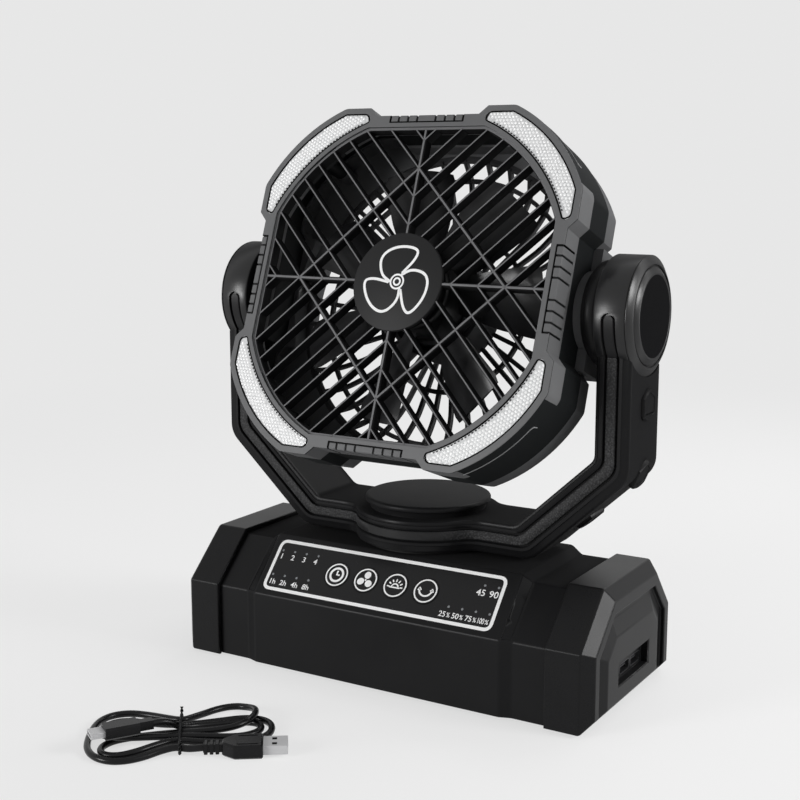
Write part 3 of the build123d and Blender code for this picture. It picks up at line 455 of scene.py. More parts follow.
@dataclass(frozen=True)
class CircuitBoard(Recipe):
    """Green solder mask with copper tracks showing under it."""

    colour: Triple

    def sockets(self, shader: Shader, where: Value) -> dict[str, object]:
        """Cell edges as tracks and cell middles as pads."""
        tracks = shader.cells(where, 0.004, "DISTANCE_TO_EDGE").ramp(0.04, 0.07, 1.0, 0.0)
        pads = shader.cells(where, 0.006).ramp(0.12, 0.16, 1.0, 0.0)
        tone = shader.blend(tracks * 0.6, self.colour, shade(self.colour, 2.4))
        tone = shader.blend(pads, tone, (0.8, 0.8, 0.75))
        return dict(Base_Color=tone, Roughness=0.45 - pads * 0.2, Metallic=pads,
                    Normal=shader.bump(tracks, 0.00003))


@dataclass(frozen=True)
class CellWrap(Recipe):
    """Shrink sleeve of a battery cell: glossy, with a paler band and fine wrinkles."""

    colour: Triple

    def sockets(self, shader: Shader, where: Value) -> dict[str, object]:
        """A paler band at each cell's end and wrinkles."""
        along = shader.split(where)[0]
        band = shader.node("ShaderNodeMath", {"operation": "PINGPONG"}, {0: along, 1: 0.0335}) < 0.004
        wrinkles = shader.noise(where, 0.002, 3.0)
        tone = shader.blend(band, self.colour, (0.75, 0.78, 0.8))
        return dict(Base_Color=tone, Roughness=wrinkles * 0.2 + 0.15,
                    Normal=shader.bump(wrinkles, 0.00004, 0.5))


@dataclass(frozen=True)
class PrintInk(Recipe):
    """Screen-printed ink, slightly uneven at the mesh of the screen."""

    colour: Triple

    def sockets(self, shader: Shader, where: Value) -> dict[str, object]:
        """The screen's mesh in tone and roughness."""
        screen = shader.noise(where, 0.0003, 1.0)
        tone = shader.blend(screen * 0.3, self.colour, shade(self.colour, 0.8))
        return dict(Base_Color=tone, Roughness=screen * 0.2 + 0.4)


@dataclass(frozen=True)
class Bench:
    """A flat working plane; rows of (across, up, out) in millimetres become rows in metres."""

    origin: Triple
    across: Triple
    up: Triple
    out: Triple

    def place(self, points: np.ndarray) -> np.ndarray:
        """Origin plus the three coordinates times the three directions."""
        return (np.asarray(self.origin) + np.asarray(points, float) @ np.array([self.across, self.up, self.out])) * MM


TILT = math.radians(20.5)
# y and height of the head's axle, and how far the head's face lies in front of it
PIVOT, REACH = (6.5, 205.5), 45.0
HEAD = Bench((0.0, PIVOT[0] - REACH * math.cos(TILT), PIVOT[1] + REACH * math.sin(TILT)),
             (1.0, 0.0, 0.0), (0.0, math.sin(TILT), math.cos(TILT)), (0.0, -math.cos(TILT), math.sin(TILT)))
# depth and height of the panel's slope, and its length
RUN, RISE = 26.1, 28.7
LEAN = math.hypot(RUN, RISE)
PANEL = Bench((0.0, -62.7, 43.1), (1.0, 0.0, 0.0), (0.0, RUN / LEAN, RISE / LEAN), (0.0, -RISE / LEAN, RUN / LEAN))
WORLD = Bench((0.0, 0.0, 0.0), (1.0, 0.0, 0.0), (0.0, 1.0, 0.0), (0.0, 0.0, 1.0))
AXLES = {"right": Bench((0.0, *PIVOT), (0.0, 1.0, 0.0), (0.0, 0.0, 1.0), (1.0, 0.0, 0.0)),
         "left": Bench((0.0, *PIVOT), (0.0, -1.0, 0.0), (0.0, 0.0, 1.0), (-1.0, 0.0, 0.0))}


class Finish(Enum):
    """The record's material slots with the finish of each."""

    shell_black = MouldedPlastic((0.0085, 0.0085, 0.009), 0.37, specular=0.14)
    bezel_grey = MouldedPlastic((0.12, 0.121, 0.124), 0.4, cloud=0.03, specular=0.17)
    panel_gloss = PolishedPlastic((0.005, 0.005, 0.0055))
    lens_white = LampLens((0.70, 0.705, 0.71))
    light_pipe = PolishedPlastic((0.22, 0.23, 0.24), 0.2)
    fan_black = MouldedPlastic((0.014, 0.014, 0.015), 0.3, specular=0.3)
    badge_black = MouldedPlastic((0.012, 0.012, 0.0125), 0.5, specular=0.17)
    steel = Metal((0.60, 0.60, 0.61), 0.3)
    plug_metal = Metal((0.78, 0.78, 0.79), 0.2)
    zinc_can = Metal((0.45, 0.46, 0.48), 0.42)
    brass = Metal((0.72, 0.55, 0.28), 0.3)
    circuit_board = CircuitBoard((0.02, 0.10, 0.05))
    cell_wrap = CellWrap((0.03, 0.10, 0.30))
    natural_nylon = MouldedPlastic((0.70, 0.68, 0.60), 0.45)
    reflector = MouldedPlastic((0.85, 0.85, 0.84), 0.3)
    foot_rubber = Rubber((0.035, 0.035, 0.035), 0.75)
    cord_black = Rubber((0.0045, 0.0045, 0.005), 0.27, 0.2)
    tie_black = Rubber((0.004, 0.004, 0.0045), 0.4, 0.2)


class Paint(Enum):
    """Further finishes, with the record's slot that each belongs to."""

    print_white = (PrintInk((0.95, 0.95, 0.95)), "panel_gloss")
    strip_grit = (GritPlastic((0.032, 0.032, 0.033), (0.014, 0.014, 0.0145)), "bezel_grey")
    strip_end = (MouldedPlastic((0.012, 0.012, 0.0125), 0.36, specular=0.17), "bezel_grey")
    # front shell: real grey face and black corners, plus grey bands on the flat side walls as painted highlight
    two_tone = (TwoTonePaintedHighlightPlastic((0.138, 0.139, 0.142), (0.006, 0.007, 0.0075), 0.36, specular=0.17), "bezel_grey")
    # grille ribs: black with a grey crown along each rib's front, a painted highlight line
    rib_edge = (TwoTonePaintedHighlightPlastic((0.17, 0.17, 0.175), (0.006, 0.006, 0.0065), seam=(0.00187, 0.0025), band=0.0),
                "shell_black")
    cap_black = (MouldedPlastic((0.0095, 0.0095, 0.01), 0.28, specular=0.13, fade=0.15), "shell_black")
    disc_black = (MouldedPlastic((0.0085, 0.0085, 0.009), 0.4, specular=0.1, fade=0.5), "shell_black")
    drum_black = (MouldedPlastic((0.0065, 0.0065, 0.007), 0.3, specular=0.4, fade=0.8), "shell_black")
    arm_black = (MouldedPlastic((0.0072, 0.0072, 0.0077), 0.34, specular=0.12), "shell_black")
    # darker, duller copy of the knob black for the knob faces: painted shade
    face_black = (MouldedPlastic((0.0045, 0.0045, 0.005), 0.45, specular=0.05), "shell_black")
    house_black = (MouldedPlastic((0.0075, 0.0075, 0.008), 0.36, specular=0.12), "shell_black")
    rear_grey = (MouldedPlastic((0.11, 0.111, 0.114), 0.44, specular=0.17), "shell_black")
    tread_grey = (MouldedPlastic((0.13, 0.131, 0.134), 0.42, specular=0.17), "shell_black")
    # darkest black for the frames round the tread blocks: painted shade of the gaps round them
    gap_dark = (MouldedPlastic((0.0031, 0.0031, 0.0031), 0.7, specular=0.05), "shell_black")
    line_grey = (MouldedPlastic((0.26, 0.26, 0.265), 0.35, specular=0.3), "shell_black")
    washer_dark = (MouldedPlastic((0.012, 0.012, 0.012), 0.5, specular=0.12), "natural_nylon")
    rear_bars = (MouldedPlastic((0.05, 0.05, 0.052), 0.44, specular=0.17), "shell_black")
    prism_clear = (PolishedPlastic((0.97, 0.972, 0.975), 0.1, 0.5), "lens_white")
    dash_dark = (MouldedPlastic((0.03, 0.03, 0.031), 0.5, specular=0.12), "lens_white")
    # near-black squares on the flat plug: painted shade standing for its holes
    port_black = (MouldedPlastic((0.004, 0.004, 0.004), 0.6, specular=0.1), "plug_metal")
    # dark copy of the socket metal: painted shade of the sockets' recesses
    port_shell = (Metal((0.10, 0.10, 0.105), 0.5), "plug_metal")
    plug_shell = (PolishedPlastic((0.62, 0.62, 0.63), 0.25, 0.5), "plug_metal")
    # near-black ribbon round the lamp windows: painted shade of the gap round them
    gap_black = (MouldedPlastic((0.003, 0.003, 0.003), 0.7, specular=0.05), "lens_white")


_made: dict[str, bpy.types.Material] = {}


def surface(finish: Union[Finish, Paint]) -> bpy.types.Material:
    """The material of a finish, made once.

    Args:
        finish: which one.

    Returns:
        The material.
    """
    if finish.name not in _made:
        maker = finish.value if isinstance(finish, Finish) else finish.value[0]
        _made[finish.name] = maker.material(finish.name)
    return _made[finish.name]


# ---- mesh kit
def grid_faces(rows: int, columns: int, close_rows: bool = False, close_columns: bool = False) -> np.ndarray:
    """Quads of a grid of points numbered row by row.

    Args:
        rows, columns: size of the grid.
        close_rows, close_columns: whether the last line joins the first.

    Returns:
        Faces as rows of four point numbers.
    """
    i = np.arange(rows if close_rows else rows - 1)[:, None]
    j = np.arange(columns if close_columns else columns - 1)[None, :]
    a = i * columns + j
    b = i * columns + (j + 1) % columns
    c = (i + 1) % rows * columns + (j + 1) % columns
    d = (i + 1) % rows * columns + j
    return np.stack([a, b, c, d], -1).reshape(-1, 4)


def round_path(points: Sequence, cut: Union[float, Sequence[float]], steps: int = 7,
               closed: bool = False) -> np.ndarray:
    """Round the corners of a line of points.

    Each corner becomes a parabola from one side to the other: the points where it leaves the sides and the
    corner itself, weighted by (1-t)^2, t^2 and 2t(1-t).

    Args:
        points: corners as rows.
        cut: how far from each corner the curve starts.
        steps: points of each curve.
        closed: whether the line is a loop.

    Returns:
        The rounded line as rows.
    """
    corner = np.asarray(points, float)
    reach = np.broadcast_to(np.asarray(cut, float), (len(corner),))[:, None]
    t = np.linspace(0.0, 1.0, steps)[None, :, None]

    def toward(other: np.ndarray) -> np.ndarray:
        """Point on the way to the neighbour."""
        way = other - corner
        length = np.maximum(np.linalg.norm(way, axis=1, keepdims=True), 1e-9)
        return corner + way / length * np.minimum(reach, 0.499 * length)

    start, end = toward(np.roll(corner, 1, 0)), toward(np.roll(corner, -1, 0))
    curve = (1 - t) ** 2 * start[:, None] + 2 * t * (1 - t) * corner[:, None] + t ** 2 * end[:, None]
    if closed:
        return curve.reshape(-1, corner.shape[1])
    return np.concatenate([corner[:1], curve[1:-1].reshape(-1, corner.shape[1]), corner[-1:]])


def sideways(line: np.ndarray, closed: bool = False) -> np.ndarray:
    """Unit vectors to the right of a flat line: its direction turned by a quarter, averaged over both sides."""
    if closed:
        along = np.roll(line, -1, 0) - np.roll(line, 1, 0)
    else:
        along = np.gradient(line, axis=0)
    across = np.stack([along[:, 1], -along[:, 0]], -1)
    return across / np.maximum(np.linalg.norm(across, axis=1, keepdims=True), 1e-9)


@dataclass
class Shape:
    """Points in millimetres and faces, before they become a piece.

    Attributes:
        points: rows of x, y, z.
        faces: arrays of point numbers, a face in each row, with one number of corners in each array.
    """

    points: np.ndarray
    faces: list[np.ndarray]

    @staticmethod
    def joined(shapes: Sequence["Shape"]) -> "Shape":
        """Several shapes as one: point numbers move up by the points before them."""
        starts = np.cumsum([0] + [len(s.points) for s in shapes[:-1]])
        faces = [block + start for shape, start in zip(shapes, starts) for block in shape.faces]
        return Shape(np.concatenate([s.points for s in shapes]), faces)

    @staticmethod
    def grid(points: np.ndarray, close_rows: bool = False, close_columns: bool = False, caps: bool = False) -> "Shape":
        """Surface over an array of points (rows, columns, 3).

        Args:
            points: the array.
            close_rows, close_columns: whether the last line joins the first.
            caps: whether the first and last row are filled.

        Returns:
            The shape.
        """
        rows, columns = points.shape[:2]
        faces = [grid_faces(rows, columns, close_rows, close_columns)]
        if caps:
            end = np.arange(columns)[None]
            faces += [end[:, ::-1], end + (rows - 1) * columns]
        return Shape(points.reshape(-1, 3), faces)

    @staticmethod
    def lathe(profile: Sequence, segments: int = 96) -> "Shape":
        """Surface of revolution about the third axis: radius times (cos, sin), height as given.

        Args:
            profile: rows of (radius, height) from one end to the other, closed to a solid at radius 0.
            segments: steps round the axis.

        Returns:
            The shape.
        """
        radius, height = np.asarray(profile, float).T
        turn = np.linspace(0, 2 * math.pi, segments, endpoint=False)[:, None]
        points = np.stack([radius * np.cos(turn), radius * np.sin(turn), height + 0 * turn], -1)
        return Shape.grid(points, close_rows=True, close_columns=bool(radius[0] > 0 and radius[-1] > 0))

    @staticmethod
    def slab(outline: np.ndarray, levels: Sequence[Pair]) -> "Shape":
        """Closed outline carried through (inset, height) levels and filled at both ends.

        Args:
            outline: loop of rows (x, y).
            levels: how far the outline is drawn in, and where, from bottom to top.

        Returns:
            The shape.
        """
        inward = sideways(outline, True)
        area = np.sum(outline[:, 0] * np.roll(outline[:, 1], -1) - np.roll(outline[:, 0], -1) * outline[:, 1])
        inward = inward * (-1.0 if area > 0 else 1.0)
        rows = [np.column_stack([outline + inward * inset, np.full(len(outline), height)]) for inset, height in levels]
        return Shape.grid(np.stack(rows), close_columns=True, caps=True)

    @staticmethod
    def carried(line: np.ndarray, section: Sequence, closed: bool = False) -> "Shape":
        """Section carried along a flat line: the line plus the offset times its sideways direction.

        Args:
            line: rows (x, y).
            section: loop of rows (offset to the right, height).
            closed: whether the line is a loop.

        Returns:
            The shape.
        """
        offset, height = np.array(section, float).T
        flat = line[:, None] + sideways(line, closed)[:, None] * offset[None, :, None]
        points = np.concatenate([flat, np.broadcast_to(height[None, :, None], (*flat.shape[:2], 1))], -1)
        return Shape.grid(points, close_rows=closed, close_columns=True, caps=not closed)

    @staticmethod
    def ribbon(line: np.ndarray, width: float, low: float, high: float, closed: bool = False,
               soft: float = 0.0) -> "Shape":
        """Raised line of constant width along a flat path.

        Args:
            line: rows (x, y).
            width: its width.
            low, high: its lower and upper height.
            closed: whether the path is a loop.
            soft: rounding of its two upper edges.

        Returns:
            The shape.
        """
        half = width / 2
        if soft:
            top = [(-half, high - soft), (-half + soft, high), (half - soft, high), (half, high - soft)]
        else:
            top = [(-half, high), (half, high)]
        return Shape.carried(line, [(-half, low), *top, (half, low)], closed)

    def moved(self, matrix: Sequence = ((1, 0, 0), (0, 1, 0), (0, 0, 1)), by: Sequence[float] = (0, 0, 0)) -> "Shape":
        """Points times a matrix of new directions, plus a shift."""
        return Shape(self.points @ np.asarray(matrix, float) + np.asarray(by, float), self.faces)

    def turned(self, degrees: float) -> "Shape":
        """Turned about the third axis."""
        c, s = math.cos(math.radians(degrees)), math.sin(math.radians(degrees))
        return self.moved(((c, s, 0), (-s, c, 0), (0, 0, 1)))

    def mirrored(self, axis: int = 0) -> "Shape":
        """Mirror image along an axis, with its faces still turned outwards."""
        points = self.points.copy()
        points[:, axis] *= -1.0
        return Shape(points, [block[:, ::-1] for block in self.faces])

    def piece(self, name: str, bench: Bench, smooth: float = 35.0) -> "Piece":
        """Make the piece from the shape on a bench."""
        return Piece(name, bench.place(self.points), self.faces, smooth)


def circle(radius: float, steps: int = 48, start: float = 0.0, sweep: float = 360.0,
           centre: Pair = (0.0, 0.0)) -> np.ndarray:
    """Points on a circle or arc: centre plus radius times (cos, sin); the last is left out of a full circle."""
    angle = np.radians(start + sweep * np.linspace(0, 1, steps, endpoint=abs(sweep) < 360))
    return np.stack([centre[0] + radius * np.cos(angle), centre[1] + radius * np.sin(angle)], -1)


class Piece:
    """A visible piece: its mesh, finish, body and the CAD nodes that it stands for."""

    def __init__(self, name: str, points: np.ndarray, faces: Sequence[np.ndarray], smooth: float = 35.0) -> None:
        """Make the mesh, merge doubles and turn its faces outwards.

        Args:
            name: the piece's name.
            points: rows of x, y, z in metres.
            faces: arrays of point numbers, a face in each row.
            smooth: degrees between faces above which an edge stays sharp.
        """
        mesh = bpy.data.meshes.new(name)
        mesh.from_pydata(points.tolist(), [], [face for block in faces for face in block.tolist()])
        self.object = bpy.data.objects.new(name, mesh)
        bpy.context.scene.collection.objects.link(self.object)
        self.clean()
        self.sharpen(smooth)

    @classmethod
    def of_node(cls, name: str, node: str, smooth: float = 30.0) -> "Piece":
        """A merged copy of a CAD node, its flat faces whole, which then stands for the node.

        Args:
            name: the piece's name.
            node: the CAD node.
            smooth: degrees above which an edge stays sharp.

        Returns:
            The piece.
        """
        piece = cls.__new__(cls)
        piece.object = bpy.data.objects.new(name, frame["nodes"][node].data.copy())
        piece.object.data.materials.clear()
        bpy.context.scene.collection.objects.link(piece.object)
        mesh = piece.object.data
        if mesh.has_custom_normals:
            mesh.attributes.remove(mesh.attributes["custom_normal"])
        work = bmesh.new()
        work.from_mesh(mesh)
        bmesh.ops.remove_doubles(work, verts=work.verts, dist=2e-6)
        bmesh.ops.dissolve_limit(work, angle_limit=math.radians(0.6), verts=work.verts, edges=work.edges)
        work.to_mesh(mesh)
        work.free()
        piece.sharpen(smooth)
        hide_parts(node)
        return piece

    def clean(self) -> "Piece":
        """Merge points closer than a thousandth of a millimetre and turn faces outwards."""
        work = bmesh.new()
        work.from_mesh(self.object.data)
        bmesh.ops.remove_doubles(work, verts=work.verts, dist=0.001 * MM)
        bmesh.ops.recalc_face_normals(work, faces=work.faces)
        work.to_mesh(self.object.data)
        work.free()
        return self

    def sharpen(self, degrees: float) -> "Piece":
        """Shade smooth, with edges above an angle left sharp."""
        mesh = self.object.data
        mesh.shade_smooth()
        mesh.set_sharp_from_angle(angle=math.radians(degrees))
        return self

    def soften(self, width: float, segments: int = 2, degrees: float = 32.0, longer: float = 0.0) -> "Piece":
        """Round the edges with a live bevel.

        Args:
            width: size of the rounding, millimetres.
            segments: its facets.
            degrees: edges flatter than this are left.
            longer: edges shorter than this are left too, millimetres.

        Returns:
            The piece.
        """
        bevel = self.object.modifiers.new("soft_edges", "BEVEL")
        bevel.width, bevel.segments = width * MM, segments
        bevel.limit_method, bevel.angle_limit = "ANGLE", math.radians(degrees)
        if longer:
            work = bmesh.new()
            work.from_mesh(self.object.data)
            weight = work.edges.layers.float.new("bevel_weight_edge")
            for edge in work.edges:
                long_ = edge.calc_length() > longer * MM
                edge[weight] = float(long_ and edge.calc_face_angle(0.0) > math.radians(degrees))
            work.to_mesh(self.object.data)
            work.free()
            bevel.limit_method = "WEIGHT"
        bevel.use_clamp_overlap = not longer
        bevel.harden_normals = True
        bevel.miter_outer = "MITER_ARC"
        return self

    def dress(self, finish: Union[Finish, Paint], body: Part) -> "Piece":
        """Give the finish and let the piece ride on its body.

        Args:
            finish: the piece's finish.
            body: the body that it rides on.

        Returns:
            The piece.
        """
        self.object.data.materials.clear()
        self.object.data.materials.append(surface(finish))
        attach(self.object, body.value)
        log.info("%s in %s rides on %s", self.object.name, finish.name, body.value)
        return self

    def stands_for(self, *nodes: str) -> "Piece":
        """Hide the CAD nodes that this piece replaces."""
        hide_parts(*nodes)
        return self


# ---- charging cable
@dataclass
class ChargingCable:
    """Charging cable tied in a hank in front of the base.

    Attributes:
        diameter: the cable's, millimetres.
        at: the hank's middle on the floor.
        turn: the hank's angle, degrees.
        length: real length between the plugs, metres; not used.
        loop: wire tie round the strands, rows of (across the hank, height).
        tail: its twisted end, in the same way.
        slant: how far the tie leans along the hank for each millimetre across.
        wire: radius of each of its wires.
        twist: length of one turn of the wires.
        plug_at, plug_aim: place and angle of the flat plug's relief.
        grip_side: half of the flat plug's grip, rows of (along, half width).
        ribs: strain relief, rows of (from, to, half width).
        route: strand centre from the flat plug's relief to the small one's: along, across and height.
    """

    diameter: float = 3.5
    at: Pair = (-52.0, -160.0)
    turn: float = 31.0
    length: float = 0.66
    loop: tuple = ((12.0, 0.9), (12.0, 4.0), (10.0, 6.4), (3.0, 7.3), (-1.5, 8.6), (-8.0, 8.6), (-15.0, 7.1),
                   (-24.5, 6.3), (-27.0, 4.0), (-27.0, 0.9))
    tail: tuple = ((10.6, 5.4), (12.4, 7.2), (13.2, 9.0))
    slant: Pair = (0.976, -0.128)
    wire: float = 0.43
    twist: float = 3.6
    plug_at: Pair = (15.6, -25.0)
    plug_aim: float = 4.5
    grip_side: tuple = ((9.0, 2.7), (15.0, 7.75), (29.0, 7.75))
    ribs: tuple = ((0.0, 9.6, 2.0), (0.4, 2.2, 2.7), (3.2, 5.0, 2.7), (6.0, 7.8, 2.7))
    route: tuple = (
        (15.6, -25.0, 3.75), (11.0, -25.2, 3.3), (7.0, -24.6, 3.0), (2.0, -23.5, 3.4), (-5.0, -26.0, 2.5),
        (-12.0, -31.5, 1.75), (-20.0, -36.0, 1.75), (-28.0, -36.5, 1.75), (-36.0, -32.0, 1.75),
        (-41.5, -23.0, 1.75), (-43.5, -12.0, 1.75), (-44.0, 0.0, 1.75), (-43.0, 11.0, 1.75),
        (-38.0, 19.0, 1.75), (-29.0, 22.0, 1.75), (-19.0, 19.5, 1.75), (-9.0, 14.0, 2.4), (0.0, 8.5, 3.4),
        (4.0, 14.0, 2.6), (9.0, 21.0, 1.75), (16.0, 28.0, 1.75), (24.0, 31.5, 1.75), (31.0, 29.0, 2.2),
        (36.0, 22.0, 4.2), (37.0, 14.0, 5.4), (36.0, 8.0, 5.4), (33.0, 1.0, 5.4), (26.0, -3.5, 4.6),
        (13.0, -5.5, 3.6), (0.0, -6.5, 3.4), (-12.0, -7.0, 2.4), (-22.0, -8.5, 1.75), (-31.0, -13.0, 1.75),
        (-35.5, -21.0, 1.75), (-33.0, -29.0, 1.75), (-25.0, -31.5, 2.0), (-16.0, -29.5, 3.4),
        (-8.0, -22.0, 3.6), (0.0, -15.5, 3.4), (13.0, -15.0, 2.2), (24.0, -15.0, 1.75), (32.0, -14.5, 1.75),
        (41.0, -11.0, 1.75), (46.0, -4.0, 1.75), (46.5, 5.0, 1.75), (43.0, 12.0, 1.75), (36.0, 15.5, 1.75),
        (28.0, 15.0, 1.75), (18.0, 11.5, 1.75), (9.0, 7.0, 2.4), (0.0, 3.0, 3.4), (-10.0, 6.0, 2.4),
        (-20.0, 10.0, 1.75), (-29.0, 12.0, 1.75), (-36.5, 8.5, 1.75), (-39.0, 0.0, 1.9), (-38.0, -9.0, 3.6),
        (-32.0, -16.0, 5.4), (-22.0, -17.5, 5.4), (-11.0, -14.0, 4.4), (0.0, -11.0, 3.4), (13.0, -10.0, 3.2),
        (24.0, -10.0, 2.6), (34.0, -7.0, 1.9), (40.5, -1.0, 1.75), (41.0, 6.0, 1.75), (36.0, 10.5, 1.75),
        (28.0, 10.0, 1.75), (18.0, 6.5, 2.2), (9.0, 2.5, 3.2), (4.0, -1.0, 4.2), (0.0, -5.0, 6.2),
        (-3.0, -8.0, 9.3), (-6.5, -10.3, 11.0), (-11.0, -12.5, 11.0))

    def world(self, points: Sequence) -> np.ndarray:
        """Turn the hank's own points by its angle, move them to its place, in metres."""
        return self.bench().place(np.asarray(points, float))

    def make_cord(self) -> bpy.types.Object:
        """The cable as one open smooth spline with a round section."""
        line = bpy.data.curves.new("charging_cable", "CURVE")
        line.dimensions = "3D"
        spline = line.splines.new("NURBS")
        points = self.world(self.route)
        spline.points.add(len(points) - 1)
        spline.points.foreach_set("co", np.column_stack([points, np.ones(len(points))]).ravel())
        spline.order_u = 3
        spline.use_endpoint_u = True
        line.resolution_u = 6
        line.bevel_depth = self.diameter / 2 * MM
        line.bevel_resolution = 4
        line.use_fill_caps = True
        cord = bpy.data.objects.new("charging_cable", line)
        bpy.context.scene.collection.objects.link(cord)
        line.materials.append(surface(Finish.cord_black))
        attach(cord, Part.BASE.value)
        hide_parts("cable_hank")
        return cord

    def bench(self) -> Bench:
        """The hank's own frame."""
        c, s = math.cos(math.radians(self.turn)), math.sin(math.radians(self.turn))
        return Bench((*self.at, 0.0), (c, s, 0.0), (-s, c, 0.0), (0.0, 0.0, 1.0))

    def twisted(self, line: np.ndarray, closed: bool) -> list[Shape]:
        """Two wires that circle a line half a turn apart, each a tube.

        Each wire's middle is the line plus its radius times (cos, sin) of a steadily growing angle, in the
        plane of the hank's first axis and the line's normal.

        Args:
            line: rows (across, height).
            closed: whether the line is a loop.

        Returns:
            Both wires.
        """
        full = np.concatenate([line, line[:1]]) if closed else line
        run = np.append(0, np.cumsum(np.linalg.norm(np.diff(full, axis=0), axis=1)))
        at = np.linspace(0, run[-1], int(run[-1] * 3), endpoint=not closed)
        b, z = (np.interp(at, run, full[:, k]) for k in (0, 1))
        out = sideways(np.stack([b, z], -1), closed)
        out = np.column_stack([0 * b, out])[:, None]
        side = np.array([1.0, 0.0, 0.0])
        middle = np.stack([self.slant[0] + self.slant[1] * b, b, z], -1)[:, None]
        turn = (at / run[-1] * 2 * math.pi * round(run[-1] / self.twist))[:, None, None]
        around = np.linspace(0, 2 * math.pi, 8, endpoint=False)[None, :, None]
        wires = []
        for start in (0.0, math.pi):
            offset = side * np.cos(turn + start) + out * np.sin(turn + start)
            tube = middle + self.wire * (offset + side * np.cos(around) + out * np.sin(around))
            wires.append(Shape.grid(tube, close_rows=closed, close_columns=True, caps=not closed))
        return wires

    def tie(self) -> Piece:
        """Twisted wire tie: a loop and a short tail."""
        loop = round_path(self.loop, 2.5, 6, closed=True)
        wires = self.twisted(loop, True) + self.twisted(np.array(self.tail), False)
        tie = Shape.joined(wires).piece("wire_tie", self.bench(), 60).stands_for("cable_tie")
        return tie.dress(Finish.tie_black, Part.BASE)

    def lying(self, shape: Shape) -> Shape:
        """Shape drawn along the flat plug, laid at its place in the hank's frame."""
        return shape.turned(self.plug_aim).moved(by=(*self.plug_at, 0.0))

    def grip(self) -> Piece:
        """Grip of the flat plug: cut corners, raised frame on its top and a ribbed strain relief."""
        side = np.array(self.grip_side)
        corners = np.concatenate([side, side[::-1] * (1, -1)])
        body = Shape.slab(round_path(corners, 0.8, 4, True), [(1.0, 0.0), (0.0, 1.0), (0.0, 6.3), (0.9, 7.2)])
        square = round_path([(16.5, -5.0), (26.5, -5.0), (26.5, 5.0), (16.5, 5.0)], 0.8, 4, True)
        shapes = [body, Shape.ribbon(square, 0.6, 7.1, 7.45, closed=True)]
        for low, high, half in self.ribs:
            ring = np.array([(low, -half), (high, -half), (high, half), (low, half)])
            levels = [(0.3, -half), (0, 0.3 - half), (0, half - 0.3), (0.3, half)]
            shapes.append(Shape.slab(ring, [(inset, 3.75 + height) for inset, height in levels]))
        piece = self.lying(Shape.joined(shapes)).piece("flat_plug_grip", self.bench(), 30)
        return piece.stands_for("usb_a_grip").dress(Finish.cord_black, Part.BASE)

    def holes(self) -> Piece:
        """The two square holes in the flat plug's upper face, as black squares of painted shade."""
        square = np.array([(-1.2, -1.2), (1.2, -1.2), (1.2, 1.2), (-1.2, 1.2)])
        marks = [Shape.slab(square + (34.5, side), [(0, 5.95), (0, 6.03)]) for side in (-2.9, 2.9)]
        piece = self.lying(Shape.joined(marks)).piece("flat_plug_holes", self.bench())
        return piece.dress(Paint.port_black, Part.BASE)

    def build(self) -> None:
        cord = self.make_cord()
        ends = [piece.object for piece in (self.tie(), self.grip(), self.holes())]
        ends += [frame["nodes"][n] for n in ("usb_a_connector", "usb_c_grip", "usb_c_connector")]
        start = self.world(self.route[:1])[0]


